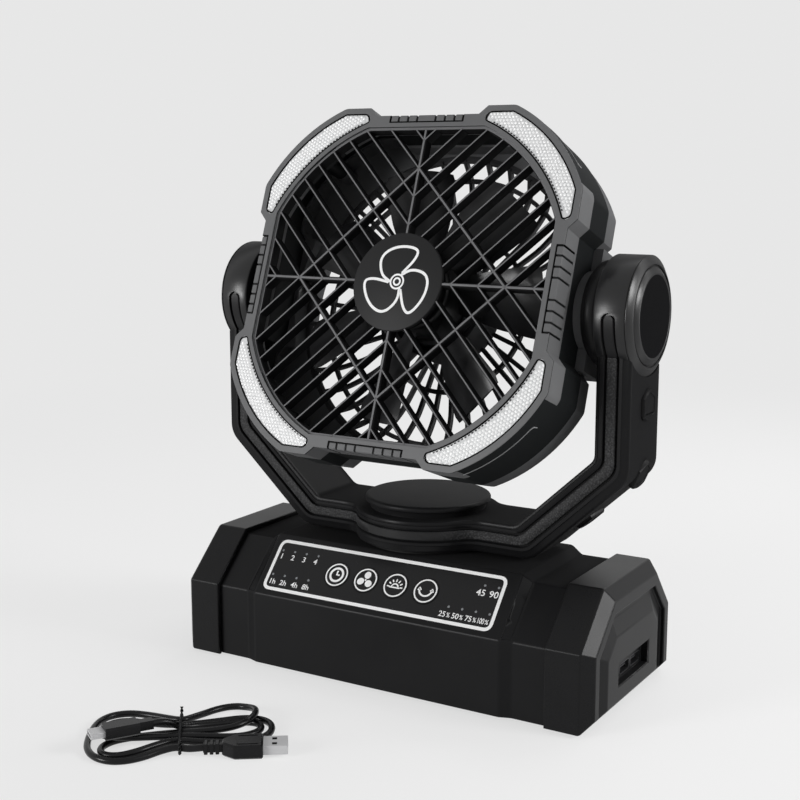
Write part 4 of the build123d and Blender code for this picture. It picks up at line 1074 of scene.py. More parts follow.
# ---- front grille
@dataclass
class FrontGrille:
    """Spokes, slanting ribs, square ring and rim in front of the fan, with the badge plate.

    Attributes:
        half, radius: the opening's half width, and the radius that rounds its corners.
        front, back: where the ribs start and end along the head's axis.
        rib, spoke, square, rim: widths of the ribs, spokes, square ring and rim.
        rib_pitch, rib_count: distance of the ribs along a spoke, and how many start on each.
        square_reach: where the square ring meets the spokes.
        hub: radius of the plate under the badge.
        badge, badge_top: the badge plate's radius and face.
    """

    half: float = 87.2
    radius: float = 94.5
    front: float = -1.8
    back: float = -8.3
    rib: float = 1.5
    rib_pitch: float = 16.0
    rib_count: int = 5
    spoke: float = 2.4
    square_reach: float = 64.0
    square: float = 2.2
    rim: float = 1.6
    hub: float = 25.5
    badge: float = 27.3
    badge_top: float = -1.2

    def blade(self, start: np.ndarray, end: np.ndarray, width: float) -> Shape:
        """Deep thin rib with a rounded front, straight from one point to another.

        Args:
            start, end: its ends (x, y).
            width: its width.

        Returns:
            The rib.
        """
        share = np.array([0.5, 0.5, 0.36, 0.14])
        height = np.array([self.back, self.front - 0.55, self.front - 0.16, self.front])
        side = np.column_stack([share * width, height])
        return Shape.carried(np.array([start, end], float), np.concatenate([side * (-1, 1), side[::-1]]))

    def reach(self, start: np.ndarray, way: np.ndarray) -> float:
        """Length from a point to the edge: the nearer of the square's sides and the circle."""
        square = ((self.half - start) / np.maximum(way, 1e-6)).min()
        along = float(start @ way)
        return float(min(square, -along + math.sqrt(along ** 2 - start @ start + self.radius ** 2))) - 0.6

    def ribs(self) -> list[Shape]:
        """Ribs of one quadrant at 45 degrees from the spokes outwards, turned to all four quadrants."""
        way = np.array([1.0, 1.0]) / math.sqrt(2)
        quarter = []
        for k in range(-self.rib_count, self.rib_count + 1):
            start = np.array([max(k, 0), max(-k, 0)], float) * self.rib_pitch
            quarter.append(self.blade(start, start + way * self.reach(start, way), self.rib))
        return [rib.turned(90 * turn) for turn in range(4) for rib in quarter]

    def rim_shape(self) -> Shape:
        """Ring along the opening: the nearer of square and circle at each angle, at two radii."""
        steps = 240
        angle = np.linspace(0, 2 * math.pi, steps, endpoint=False)
        reach = np.maximum(np.abs(np.cos(angle)), np.abs(np.sin(angle)))
        outer = np.minimum(self.radius, self.half / reach)
        inner = np.minimum(self.radius - self.rim, (self.half - self.rim) / reach)
        rings = [(outer, self.back), (inner, self.back), (inner, self.front - 0.4), (inner + 0.4, self.front),
                 (outer, self.front)]
        points = [np.stack([r * np.cos(angle), r * np.sin(angle), np.full(steps, w)], -1) for r, w in rings]
        return Shape.grid(np.stack(points, 1), close_rows=True, close_columns=True)

    def build(self) -> None:
        """Make the web, the badge plate and its sign."""
        web = self.ribs()
        edge = self.blade(np.array([self.square_reach, 0.0]), np.array([0.0, self.square_reach]), self.square)
        spoke = self.blade(np.zeros(2), np.array([self.half - 0.6, 0.0]), self.spoke)
        web += [one.turned(90 * turn) for turn in range(4) for one in (edge, spoke)]
        web.append(self.rim_shape())
        seat = self.badge_top - 2.5
        web.append(Shape.lathe([(0, self.back), (self.hub, self.back), (self.hub, seat), (0, seat)]))
        # ribs, spokes, square ring and rim in black with a painted highlight along their fronts
        Shape.joined(web).piece("front_ribs", HEAD).stands_for("front_grille").dress(Paint.rib_edge, Part.HEAD)
        top = self.badge_top
        plate = [(0, seat), (self.badge - 0.2, seat), (self.badge, seat + 0.3), (self.badge, top - 0.7),
                 (self.badge - 0.25, top - 0.2), (self.badge - 0.8, top), (0, top)]
        Shape.lathe(plate, 128).piece("badge_plate", HEAD).stands_for("hub_cap").dress(Finish.badge_black, Part.HEAD)
        Shape.joined(self.sign()).piece("badge_sign", HEAD).dress(Paint.print_white, Part.HEAD)

    def sign(self) -> list[Shape]:
        """Fan sign: three leaf outlines round a double ring.

        A leaf is an open line that bends smoothly through the middles of its guide polygon's sides.
        """
        top = self.badge_top
        guide = [(-4.3, -0.2), (-10.8, 3.6), (-13.2, 14.0), (-3.5, 20.0), (10.0, 18.9), (9.3, 13.0), (2.2, 4.7)]
        leaf = Shape.ribbon(round_path(guide, 99.0, 10), 1.5, top - 0.1, top + 0.06)
        rings = [Shape.ribbon(circle(r, 40), 1.0, top - 0.1, top + 0.08, closed=True) for r in (1.9, 3.9)]
        return [leaf.turned(120 * k) for k in range(3)] + rings


# ---- corner lamps
@dataclass
class CornerLamps:
    """Rows of small prisms under the surface of the four lamp covers, and a dark line of painted shade round them.

    Attributes:
        inner: radius of the window's inner edge.
        outline_radius, outline_centre: radius of its bowed outer edge, and that edge's middle from the axis.
        side, inset: the head's half width, and how far the window stays inside it.
        notch: where the window's flat ends are.
        pitch: distance of the prisms.
        lattice, lattice_rows: the lattice's middle along both sides, and its rows to either side.
        margin, inner_margin: how far the prisms stay inside the window, and off its inner edge.
        top, height: the prisms' foot and how high they rise.
    """

    inner: float = 97.2
    outline_radius: float = 91.1
    outline_centre: float = 21.9
    side: float = 98.5
    inset: float = 3.7
    notch: float = 36.7
    pitch: float = 2.05
    lattice: float = 76.0
    lattice_rows: int = 40
    margin: float = 0.75
    inner_margin: float = 2.2
    top: float = -0.4
    height: float = 0.38

    def inside(self, x: np.ndarray, y: np.ndarray, margin: float) -> np.ndarray:
        """Where points lie in the upper right window: outside the inner circle, inside the bowed outline."""
        centre = self.outline_centre / math.sqrt(2)
        clear = np.hypot(x, y) > self.inner + margin
        clear &= np.hypot(x - centre, y - centre) < self.outline_radius - self.inset - margin
        clear &= np.maximum(x, y) < self.side - self.inset - margin
        return clear & (np.minimum(x, y) > self.notch + 1.4 + margin)

    def prisms(self) -> Shape:
        """Low six-sided domes on a hexagonal lattice, kept where they fit the window."""
        span = slice(-self.lattice_rows, self.lattice_rows + 1)
        rows, columns = np.mgrid[span, span]
        x = self.lattice + self.pitch * (columns + 0.5 * (rows % 2)).ravel()
        y = self.lattice + self.pitch * 0.866 * rows.ravel()
        keep = self.inside(x, y, self.margin) & (np.hypot(x, y) > self.inner + self.inner_margin)
        centre = np.stack([x[keep], y[keep]], -1)
        ring = circle(self.pitch * 0.49, 6, 30)
        mid = circle(self.pitch * 0.24, 6, 30)
        count = len(centre)
        base = np.concatenate([centre[:, None] + ring, np.full((count, 6, 1), self.top - 0.05)], -1)
        waist = np.concatenate([centre[:, None] + mid, np.full((count, 6, 1), self.top + self.height * 0.75)], -1)
        tip = np.concatenate([centre[:, None], np.full((count, 1, 1), self.top + self.height)], -1)
        points = np.concatenate([base, waist, tip], 1).reshape(-1, 3)
        k = np.arange(6)
        band = np.stack([k, (k + 1) % 6, 6 + (k + 1) % 6, 6 + k], -1)
        cap = np.stack([6 + k, 6 + (k + 1) % 6, np.full(6, 12)], -1)
        start = (np.arange(count) * 13)[:, None, None]
        blocks = (band, cap, k[None, ::-1])
        return Shape(points, [(block + start).reshape(-1, block.shape[1]) for block in blocks])

    def dashes(self) -> Shape:
        """Row of short dark bars along the inner edge of the window, the edge of the cover's inside."""
        reach = self.inner + 1.0
        bars = [Shape.ribbon(circle(reach, 4, angle, 0.62), 0.55, self.top - 0.05, self.top + 0.2)
                for angle in np.arange(24.5, 65.0, 1.25).tolist()]
        return Shape.joined(bars)

    def gap(self) -> Shape:
        """Dark line of painted shade round the window: inner circle, flat ends, the square's sides and the bowed
        outline.
        """
        end, flat = self.notch - 0.4, self.side - self.inset
        middle, bow = self.outline_centre / math.sqrt(2), self.outline_radius - self.inset
        low = math.degrees(math.asin(end / self.inner))
        inner = circle(self.inner, 30, low, 90 - 2 * low)
        rim = math.degrees(math.acos((flat - middle) / bow))
        outer = circle(bow, 16, 90 - rim, 2 * rim - 90, (middle, middle))
        loop = np.concatenate([inner, [(end + 1.5, flat)], outer, [(flat, end + 1.5)]])
        cut = np.full(len(loop), 0.3)
        cut[[0, 29]], cut[[30, -1]] = 1.8, 2.4
        return Shape.ribbon(round_path(loop, cut, 5, True), 0.75, -0.3, 0.05, closed=True)

    def build(self) -> None:
        """Make the prisms, dashes and gap of all four covers."""
        one, bars = self.prisms(), self.dashes()
        gaps = Shape.joined([self.gap().turned(90 * turn) for turn in range(4)])
        # dark line round each window: painted shade
        gaps.piece("lens_gaps", HEAD).dress(Paint.gap_black, Part.HEAD)
        for turn, place in enumerate(("top_right", "top_left", "bottom_left", "bottom_right")):
            one.turned(90 * turn).piece(f"prisms_{place}", HEAD).dress(Paint.prism_clear, Part.HEAD)
            bars.turned(90 * turn).piece(f"dashes_{place}", HEAD).dress(Paint.dash_dark, Part.HEAD)


# ---- control panel
@dataclass
class ControlPanel:
    """Prints of the leaning panel: white line, digits and four signs.

    Attributes:
        left, right, low, high: the plate's edges, along and up the panel.
        line_inset, line: the white line's distance from them and its width.
        button_x, button_s: the buttons' places along and up the panel.
        button_top: height of their faces.
        sunk, ink: how far a print reaches into its face and stands out of it.
        rows: distance up the panel, size, widening, and each text with its distance along.
        percents: the percentages with their distances along.
        percent_number, percent_sign: shift along, distance up and size, then the sign's widening.
    """

    left: float = -74.65
    right: float = 71.85
    low: float = 3.15
    high: float = 35.65
    line_inset: float = 1.2
    line: float = 1.9
    button_x: tuple = (-29.9, -10.9, 8.1, 27.1)
    button_s: float = 19.4
    button_top: float = 0.2
    sunk: float = 0.1
    ink: float = 0.06
    rows: tuple = ((24.6, 4.5, 1.08, (("1", -70.0), ("2", -62.4), ("3", -54.6), ("4", -46.8))),
                   (8.6, 4.5, 1.05, (("1h", -69.2), ("2h", -61.8), ("4h", -54.0), ("8h", -46.4))),
                   (24.0, 5.2, 1.05, (("45", 58.8), ("90", 66.4))))
    percents: tuple = (("25", 42.6), ("50", 50.4), ("75", 58.2), ("100", 65.4))
    percent_number: tuple = (-1.3, 8.4, 4.4)
    percent_sign: tuple = (2.3, 8.3, 3.7, 0.8)

    def line_on_button(self, line: np.ndarray, width: float, closed: bool = False) -> Shape:
        """Printed line on a button's face."""
        return Shape.ribbon(line, width, self.button_top - self.sunk, self.button_top + self.ink, closed=closed)

    def patch_on_button(self, outline: np.ndarray) -> Shape:
        """Printed patch on a button's face."""
        return Shape.slab(outline, [(0, self.button_top - self.sunk), (0, self.button_top + self.ink)])

    def frame_line(self) -> Shape:
        """White line round the panel with round corners."""
        i = self.line_inset
        corners = [(self.left + i, self.low + i), (self.right - i, self.low + i),
                   (self.right - i, self.high - i), (self.left + i, self.high - i)]
        return Shape.ribbon(round_path(corners, 4.0, 9, True), self.line, -0.2, self.ink, closed=True)

    def words(self) -> Shape:
        """Digits of the scale, each set as text, made a mesh and then placed."""
        marks = [(text, x, s, size, wide) for s, size, wide, row in self.rows for text, x in row]
        for text, x in self.percents:
            shift, *number = self.percent_number
            marks.append((text, x + shift, *number, 2.0 / (len(text) + 0.1)))
            shift, *sign = self.percent_sign
            marks.append(("%", x + shift, *sign))
        shapes = []
        for text, x, s, size, widening in marks:
            font = bpy.data.curves.new("mark", "FONT")
            font.body, font.size, font.align_x, font.align_y = text, size, "CENTER", "CENTER"
            font.extrude = self.ink
            font.offset = 0.009 * size
            thing = bpy.data.objects.new("mark", font)
            bpy.context.scene.collection.objects.link(thing)
            bpy.context.view_layer.update()
            mesh = bpy.data.meshes.new_from_object(thing)
            bpy.data.objects.remove(thing)
            flat = np.zeros(len(mesh.vertices) * 3)
            mesh.vertices.foreach_get("co", flat)
            faces = [np.array([polygon.vertices[:]]) for polygon in mesh.polygons]
            shapes.append(Shape(flat.reshape(-1, 3) * (widening, 1.0, 1.0) + (x, s, 0.0), faces))
            bpy.data.meshes.remove(mesh)
        return Shape.joined(shapes)

    def clock(self) -> list[Shape]:
        """Clock: a thick ring and two hands."""
        hands = np.array([(0.0, 2.5), (0.0, 0.0), (1.9, 0.0)])
        return [self.line_on_button(circle(3.9), 1.3, True), self.line_on_button(hands, 0.95)]

    def rotor(self) -> list[Shape]:
        """Fan: three round leaves and a small hub."""
        leaf = self.patch_on_button(circle(1.0, 28) * (2.0, 2.15) + (0.35, 3.0))
        return [leaf.turned(120 * k) for k in range(3)] + [self.patch_on_button(circle(0.55, 16))]

    def sun(self) -> list[Shape]:
        """Half sun on a line with seven rays."""
        low = (0.0, -1.2)
        lines = [self.line_on_button(circle(2.1, 20, 0, 180, low), 0.8),
                 self.line_on_button(np.array([(-3.2, -1.3), (3.2, -1.3)]), 0.8)]
        ray = self.line_on_button(np.array([(3.3, 0.0), (4.9, 0.0)]), 0.75)
        return lines + [ray.turned(angle).moved(by=(*low, 0.0)) for angle in np.linspace(4, 176, 7)]

    def swing(self) -> list[Shape]:
        """Swing: a bow with an arrow head at each end."""
        bow = self.line_on_button(circle(3.9, 24, 190, 160, (0.0, 0.9)), 1.0)
        head = np.array([(-1.1, -0.2), (0.1, 1.3), (0.9, -0.6)])
        heads = [self.line_on_button(head * (side, 1.0) + (side * 3.8, 0.4), 0.7) for side in (-1, 1)]
        return [bow, *heads]

    def build(self) -> None:
        """Make all prints; each sign rides on its own button."""
        self.frame_line().piece("panel_line", PANEL).dress(Paint.print_white, Part.BASE)
        self.words().piece("panel_digits", PANEL).dress(Paint.print_white, Part.BASE)
        signs = (("timer", self.clock, Part.TIMER), ("fan", self.rotor, Part.FAN_KEY),
                 ("lamp", self.sun, Part.LAMP), ("swing", self.swing, Part.SWING))
        for (name, maker, body), x in zip(signs, self.button_x):
            ring = self.line_on_button(circle(6.5, 64), 0.8, True)
            sign = Shape.joined([ring, *maker()]).moved(by=(x, self.button_s, 0.0))
            sign.piece(f"{name}_sign", PANEL).dress(Paint.print_white, body)


# ---- yoke
@dataclass
class Yoke:
    """Bar with round hub, shoulders and arms in one sweep, with drums, grip strip, pads, knobs and hub disc.

    Attributes:
        inner, outer: bends of the right half's two edges, rows of (x, height).
        inner_cut, outer_cut: how far each bend is rounded.
        front, rear: the two long faces beside the hub, from the swing axis.
        hub, blend: radius of the hub and of the hollow that leads into it.
        cover_from, cover_to: where the rear covers start along the bar and end up the arm.
        cover_depth: how far the arms' rear face is stepped in for them.
        width: width of the section from the inner to the outer edge.
        pivot: the head's axle, (y, height).
        drum, drum_width: radius and width of the pivot drums.
        groove_middle, groove_half, groove_end: the strip's groove up the drum: place, half width and end angle.
        lip_in, groove, lip_out: the front's section, rows of (across from the inner edge, depth).
        back_edge: the rear's section, rows of (across, depth, 1 where the covers sit).
        drum_groove: the groove's section on the drum, rows of (across from its middle, depth).
        drum_near, drum_far: the drum's two edges, rows of (across, depth).
        strip: the grip strip's section.
        strip_half, strip_low: half width of its end on the drum, and the angle from which that is drawn.
        pads: middle (x, height) of each pad and its angle in the yoke's plane.
        pad_half: half width and half height of a pad.
        pad_levels: its walls, rows of (inset, height).
        knob, knob_face, disc: profiles, rows of (radius, height).
    """

    inner: tuple = ((64.0, 91.1), (108.5, 132.16))
    outer: tuple = ((73.9, 73.6), (127.5, 123.06))
    inner_cut: tuple = (0.0, 2.74, 3.07, 0.0)
    outer_cut: tuple = (0.0, 5.47, 6.13, 0.0)
    front: float = 18.5
    rear: float = 23.5
    hub: float = 41.0
    blend: float = 14.0
    cover_from: float = 56.0
    cover_to: float = 171.0
    cover_depth: float = 3.0
    width: float = 19.0
    pivot: tuple = PIVOT
    drum: float = 31.5
    drum_width: float = 17.5
    groove_middle: float = 8.625
    groove_half: float = 3.9
    groove_end: float = 0.0
    lip_in: tuple = ((0.0, 1.6), (0.3, 0.75), (1.0, 0.35), (1.8, 0.35), (2.0, 0.7), (2.4, 0.7), (2.6, 0.3), (4.2, 0.3))
    groove: tuple = ((4.55, 0.6), (4.72, 2.4), (5.9, 2.4), (5.95, 1.7), (11.3, 1.7), (11.35, 2.4), (12.35, 2.4),
                     (12.5, 0.6))
    lip_out: tuple = ((12.8, 0.15), (14.4, 0.15), (14.7, 0.55), (15.0, 0.7), (17.4, 0.7), (18.4, 1.0), (19.0, 1.9))
    back_edge: tuple = ((18.7, 0.7, 0), (18.2, 0.2, 0), (17.5, 0, 0), (16.15, 0, 0), (16.1, 0, 1), (2.9, 0, 1),
                        (2.85, 0, 0), (1.5, 0, 0), (0.8, 0.2, 0), (0.3, 0.7, 0))
    drum_groove: tuple = ((-3.9, 0.0), (-3.86, 2.4), (-2.68, 2.4), (-2.64, 1.7), (2.64, 1.7), (2.68, 2.4),
                          (3.86, 2.4), (3.9, 0.0))
    drum_near: tuple = ((0, 31.5), (0, 1.3), (0.35, 0.45), (1.1, 0.0))
    drum_far: tuple = ((16.7, 0.0), (17.2, 0.25), (17.5, 0.9), (17.5, 31.5))
    strip: tuple = ((5.95, 1.75), (5.95, 0.5), (6.3, 0.2), (10.95, 0.2), (11.3, 0.5), (11.3, 1.75))
    strip_half: float = 2.7
    strip_low: float = -37.5
    pads: tuple = ((127.5, 160.0, 90.0), (125.1, 122.8, 66.4), (98.15, 95.98, 42.7))
    pad_half: Pair = (8.6, 8.2)
    pad_levels: tuple = ((0.0, -0.6), (0.0, 1.0), (0.7, 1.8), (2.2, 1.8), (2.5, 1.4))
    knob: tuple = ((0, 126), (31.2, 126), (31.45, 126.15), (31.45, 126.5), (31.2, 126.8), (27.5, 128.85),
                   (27.2, 128.95), (26.75, 128.9), (26.6, 128.6), (26.55, 127.8), (25.6, 127.8), (25.55, 128.5),
                   (25.3, 128.8), (22.8, 130.25), (22.4, 130.4), (21.9, 130.35), (21.5, 130.1), (0, 130.05))
    knob_face: tuple = ((0, 129.8), (21.5, 129.8), (21.5, 130.13), (0, 130.12))
    disc: tuple = ((0, 91.1), (33, 91.1), (33, 93.6), (33.3, 94.3), (35, 94.6), (35.6, 95), (35.8, 95.6),
                   (35.8, 96.6), (35.4, 97.4), (34.6, 97.9), (33.8, 98), (0, 98))

    def outlines(self) -> np.ndarray:
        """Inner and outer line of the right half, point for point: bar, two rounded bends and arm."""
        flat = np.append(np.linspace(0, self.cover_from, 29), self.cover_from + 0.01)
        upright = np.array([150.0, 165.0, self.cover_to, self.cover_to + 0.01])
        lines = []
        for corners, cut in ((self.inner, self.inner_cut), (self.outer, self.outer_cut)):
            bend = round_path([(56.0, corners[0][1]), *corners, (corners[1][0], 150.0)], cut, 9)[1:-1]
            bar = np.column_stack([flat, np.full(len(flat), corners[0][1])])
            arm = np.column_stack([np.full(len(upright), corners[1][0]), upright])
            lines.append(np.concatenate([bar, bend, arm]))
        return np.stack(lines)

    def bulge(self, x: np.ndarray, flat: float) -> np.ndarray:
        """How far a long face lies from y = 0: the hub's circle, a blend of opposite curvature, then flat.

        Args:
            x: distance along the bar.
            flat: the face's distance beside the hub.

        Returns:
            The distances.
        """
        centre = math.sqrt((self.hub + self.blend) ** 2 - (flat + self.blend) ** 2)
        x = np.minimum(np.abs(x), centre)
        circle_part = np.sqrt(np.maximum(self.hub ** 2 - x ** 2, 0))
        blend_part = flat + self.blend - np.sqrt(np.maximum(self.blend ** 2 - (x - centre) ** 2, 0))
        return np.where(x < centre * self.hub / (self.hub + self.blend), circle_part, blend_part)

    def arc_height(self, y: np.ndarray) -> np.ndarray:
        """Height at which a vertical line at y meets the pivot drum from below."""
        return self.pivot[1] - np.sqrt(self.drum ** 2 - (y - self.pivot[0]) ** 2)

    def swept(self, across: np.ndarray, back: np.ndarray, shift: np.ndarray, step: np.ndarray) -> np.ndarray:
        """Carry a section along the yoke from the left arm's top to the right arm's.

        Each point goes from the inner to the outer line by its place across; its y is the front face at
        back = 0 and the rear face at back = 1, plus its shift, and less where the rear covers sit. The last
        three rows follow the drum: on its arc, on its arc with the outer edge cut off, and 6 mm inside.

        Args:
            across, back, shift: the section's points.
            step: 1 for the points that move in for the rear covers.

        Returns:
            Points (rows, section, 3).
        """
        inner, outer = self.outlines()[:, :, None]
        part = (across / self.width)[None, :, None]
        line = inner + (outer - inner) * part
        x, z = line[..., 0], line[..., 1]
        covered = ((inner[..., 0] > self.cover_from) & (inner[..., 1] <= self.cover_to)).astype(float)
        face = -self.bulge(x, self.front) * (1 - back) + self.bulge(x, self.rear) * back
        y = face + shift - self.cover_depth * step * covered
        right = np.stack([x, y, z], -1)
        top = right[-1].copy()
        top[:, 2] = self.arc_height(top[:, 1])
        cut = top.copy()
        cut[:, 0] = np.minimum(cut[:, 0], self.inner[1][0] + self.drum_width)
        right = np.concatenate([right, [top, cut, cut + (0, 0, 6.0)]])
        return np.concatenate([right[:0:-1] * (-1, 1, 1), right])

    def shell(self) -> Shape:
        """Bar, shoulders and arms: front lips and groove, sides and the stepped rear face."""
        front = np.array(self.lip_in + self.groove + self.lip_out)
        rear = np.array(self.back_edge)
        side = np.linspace(0.06, 0.95, 14)
        still = 0 * side
        across = np.concatenate([front[:, 0], still + self.width, rear[:, 0], still])
        back = np.concatenate([0 * front[:, 0], side, 1 + 0 * rear[:, 0], side[::-1]])
        shift = np.concatenate([front[:, 1], still, -rear[:, 1], still])
        step = np.concatenate([0 * front[:, 0], still, rear[:, 2], still])
        return Shape.grid(self.swept(across, back, shift, step), close_columns=True, caps=True)

    def drum_turns(self, half: float) -> tuple[np.ndarray, np.ndarray]:
        """Angles round the drum and how wide a band is there: full, then a half circle, then nothing.

        Args:
            half: half the band's width.

        Returns:
            Degrees up from the front, and the width's share.
        """
        t = np.linspace(0, math.pi / 2, 9)
        below = np.linspace(-60, self.groove_end, 14, endpoint=False)
        end = self.groove_end + np.degrees(half * np.sin(t) / self.drum)
        return np.concatenate([below, end]), np.concatenate([np.ones(14), np.cos(t)])

    def on_drum(self, angle: np.ndarray, across: np.ndarray, depth: np.ndarray) -> np.ndarray:
        """Points on the right drum: x from the inner face, the rest round the pivot at the drum's radius less depth."""
        turn, radius = np.radians(angle)[:, None], self.drum - depth
        across, radius = np.broadcast_arrays(across, radius)
        return np.stack([self.inner[1][0] + across, self.pivot[0] - radius * np.cos(turn),
                         self.pivot[1] + radius * np.sin(turn)], -1)

    def drum_shape(self) -> Shape:
        """Pivot drum: a lathed band whose groove ends in a half circle."""
        angle, share = self.drum_turns(self.groove_half)
        rest = np.linspace(angle[-1] + 0.05, 300, 52, endpoint=False)
        angle, share = np.append(angle, rest), np.append(share, 0 * rest)[:, None]
        near, groove, far = (np.array(rows) for rows in (self.drum_near, self.drum_groove, self.drum_far))

        def all_round(values: np.ndarray) -> np.ndarray:
            """The same values at every angle."""
            return np.tile(values, (len(angle), 1))

        middle = self.groove_middle + groove[:, 0] * share
        across = np.concatenate([all_round(near[:, 0]), middle, all_round(far[:, 0])], 1)
        depth = np.concatenate([all_round(near[:, 1]), groove[:, 1] * (share > 0), all_round(far[:, 1])], 1)
        return Shape.grid(self.on_drum(angle, across, depth), close_rows=True)

    def strip_shapes(self) -> list[Shape]:
        """Grip strip: along the yoke's front, then up each drum to a round end."""
        across, depth = np.array(self.strip).T
        flat = self.swept(across, 0 * across, depth, 0 * across)[2:-2]
        angle, share = self.drum_turns(self.strip_half)
        rise = np.searchsorted(angle, self.strip_low) - 1
        middle = self.groove_middle + (across - self.groove_middle) * share[rise:, None]
        end = Shape.grid(self.on_drum(angle[rise:], middle, depth[None, :] + 0.12), close_columns=True, caps=True)
        return [Shape.grid(flat, close_columns=True, caps=True), end, end.mirrored()]

    def pad_shapes(self) -> list[Shape]:
        """Raised pads: an outline with a peaked top and a round foot, low walls and a soft upper edge."""
        wide, tall = self.pad_half
        foot = circle(1.0, 13, 0, -180) * (wide, 3.4) + (0.0, -5.4)
        outline = np.concatenate([[(wide, 3.6)], foot, [(-wide, 3.6), (-1.0, tall), (1.0, tall)]])
        pad = Shape.slab(outline, self.pad_levels)
        pads = []
        for x, z, degrees in self.pads:
            rise, run = math.sin(math.radians(degrees)), math.cos(math.radians(degrees))
            pads.append(pad.moved(((0, 1, 0), (run, 0, rise), (rise, 0, -run)), (x, 6.0, z)))
        return pads + [one.mirrored() for one in pads]

    def build(self) -> None:
        """Make the shell with drums and pads, the strip, the knobs and the hub disc."""
        arms = Shape.joined([self.shell(), *self.pad_shapes()])
        arms.piece("yoke_shell", WORLD, 40).stands_for("yoke_frame").dress(Paint.arm_black, Part.YOKE)
        drum = self.drum_shape()
        drums = Shape.joined([drum, drum.mirrored()])
        drums.piece("yoke_drums", WORLD, 40).dress(Paint.drum_black, Part.YOKE)
        strip, *ends = self.strip_shapes()
        strip.piece("yoke_strip", WORLD, 40).stands_for("yoke_inlay").dress(Paint.strip_grit, Part.YOKE)
        Shape.joined(ends).piece("strip_ends", WORLD, 40).dress(Paint.strip_end, Part.YOKE)
        for side, bench in AXLES.items():
            knob = Shape.lathe(self.knob, 160).piece(f"{side}_knob", bench)
            knob.stands_for(f"{side}_pivot_cap").dress(Paint.drum_black, Part.YOKE)
        # thin discs over the knob faces in that darker copy: painted shade
        for side, bench in AXLES.items():
            face = Shape.lathe(self.knob_face, 96).piece(f"{side}_knob_face", bench)
            face.dress(Paint.face_black, Part.YOKE)
        disc = Shape.lathe(self.disc, 160).piece("hub_disc", WORLD)
        disc.stands_for("turntable_cap").dress(Paint.disc_black, Part.YOKE)


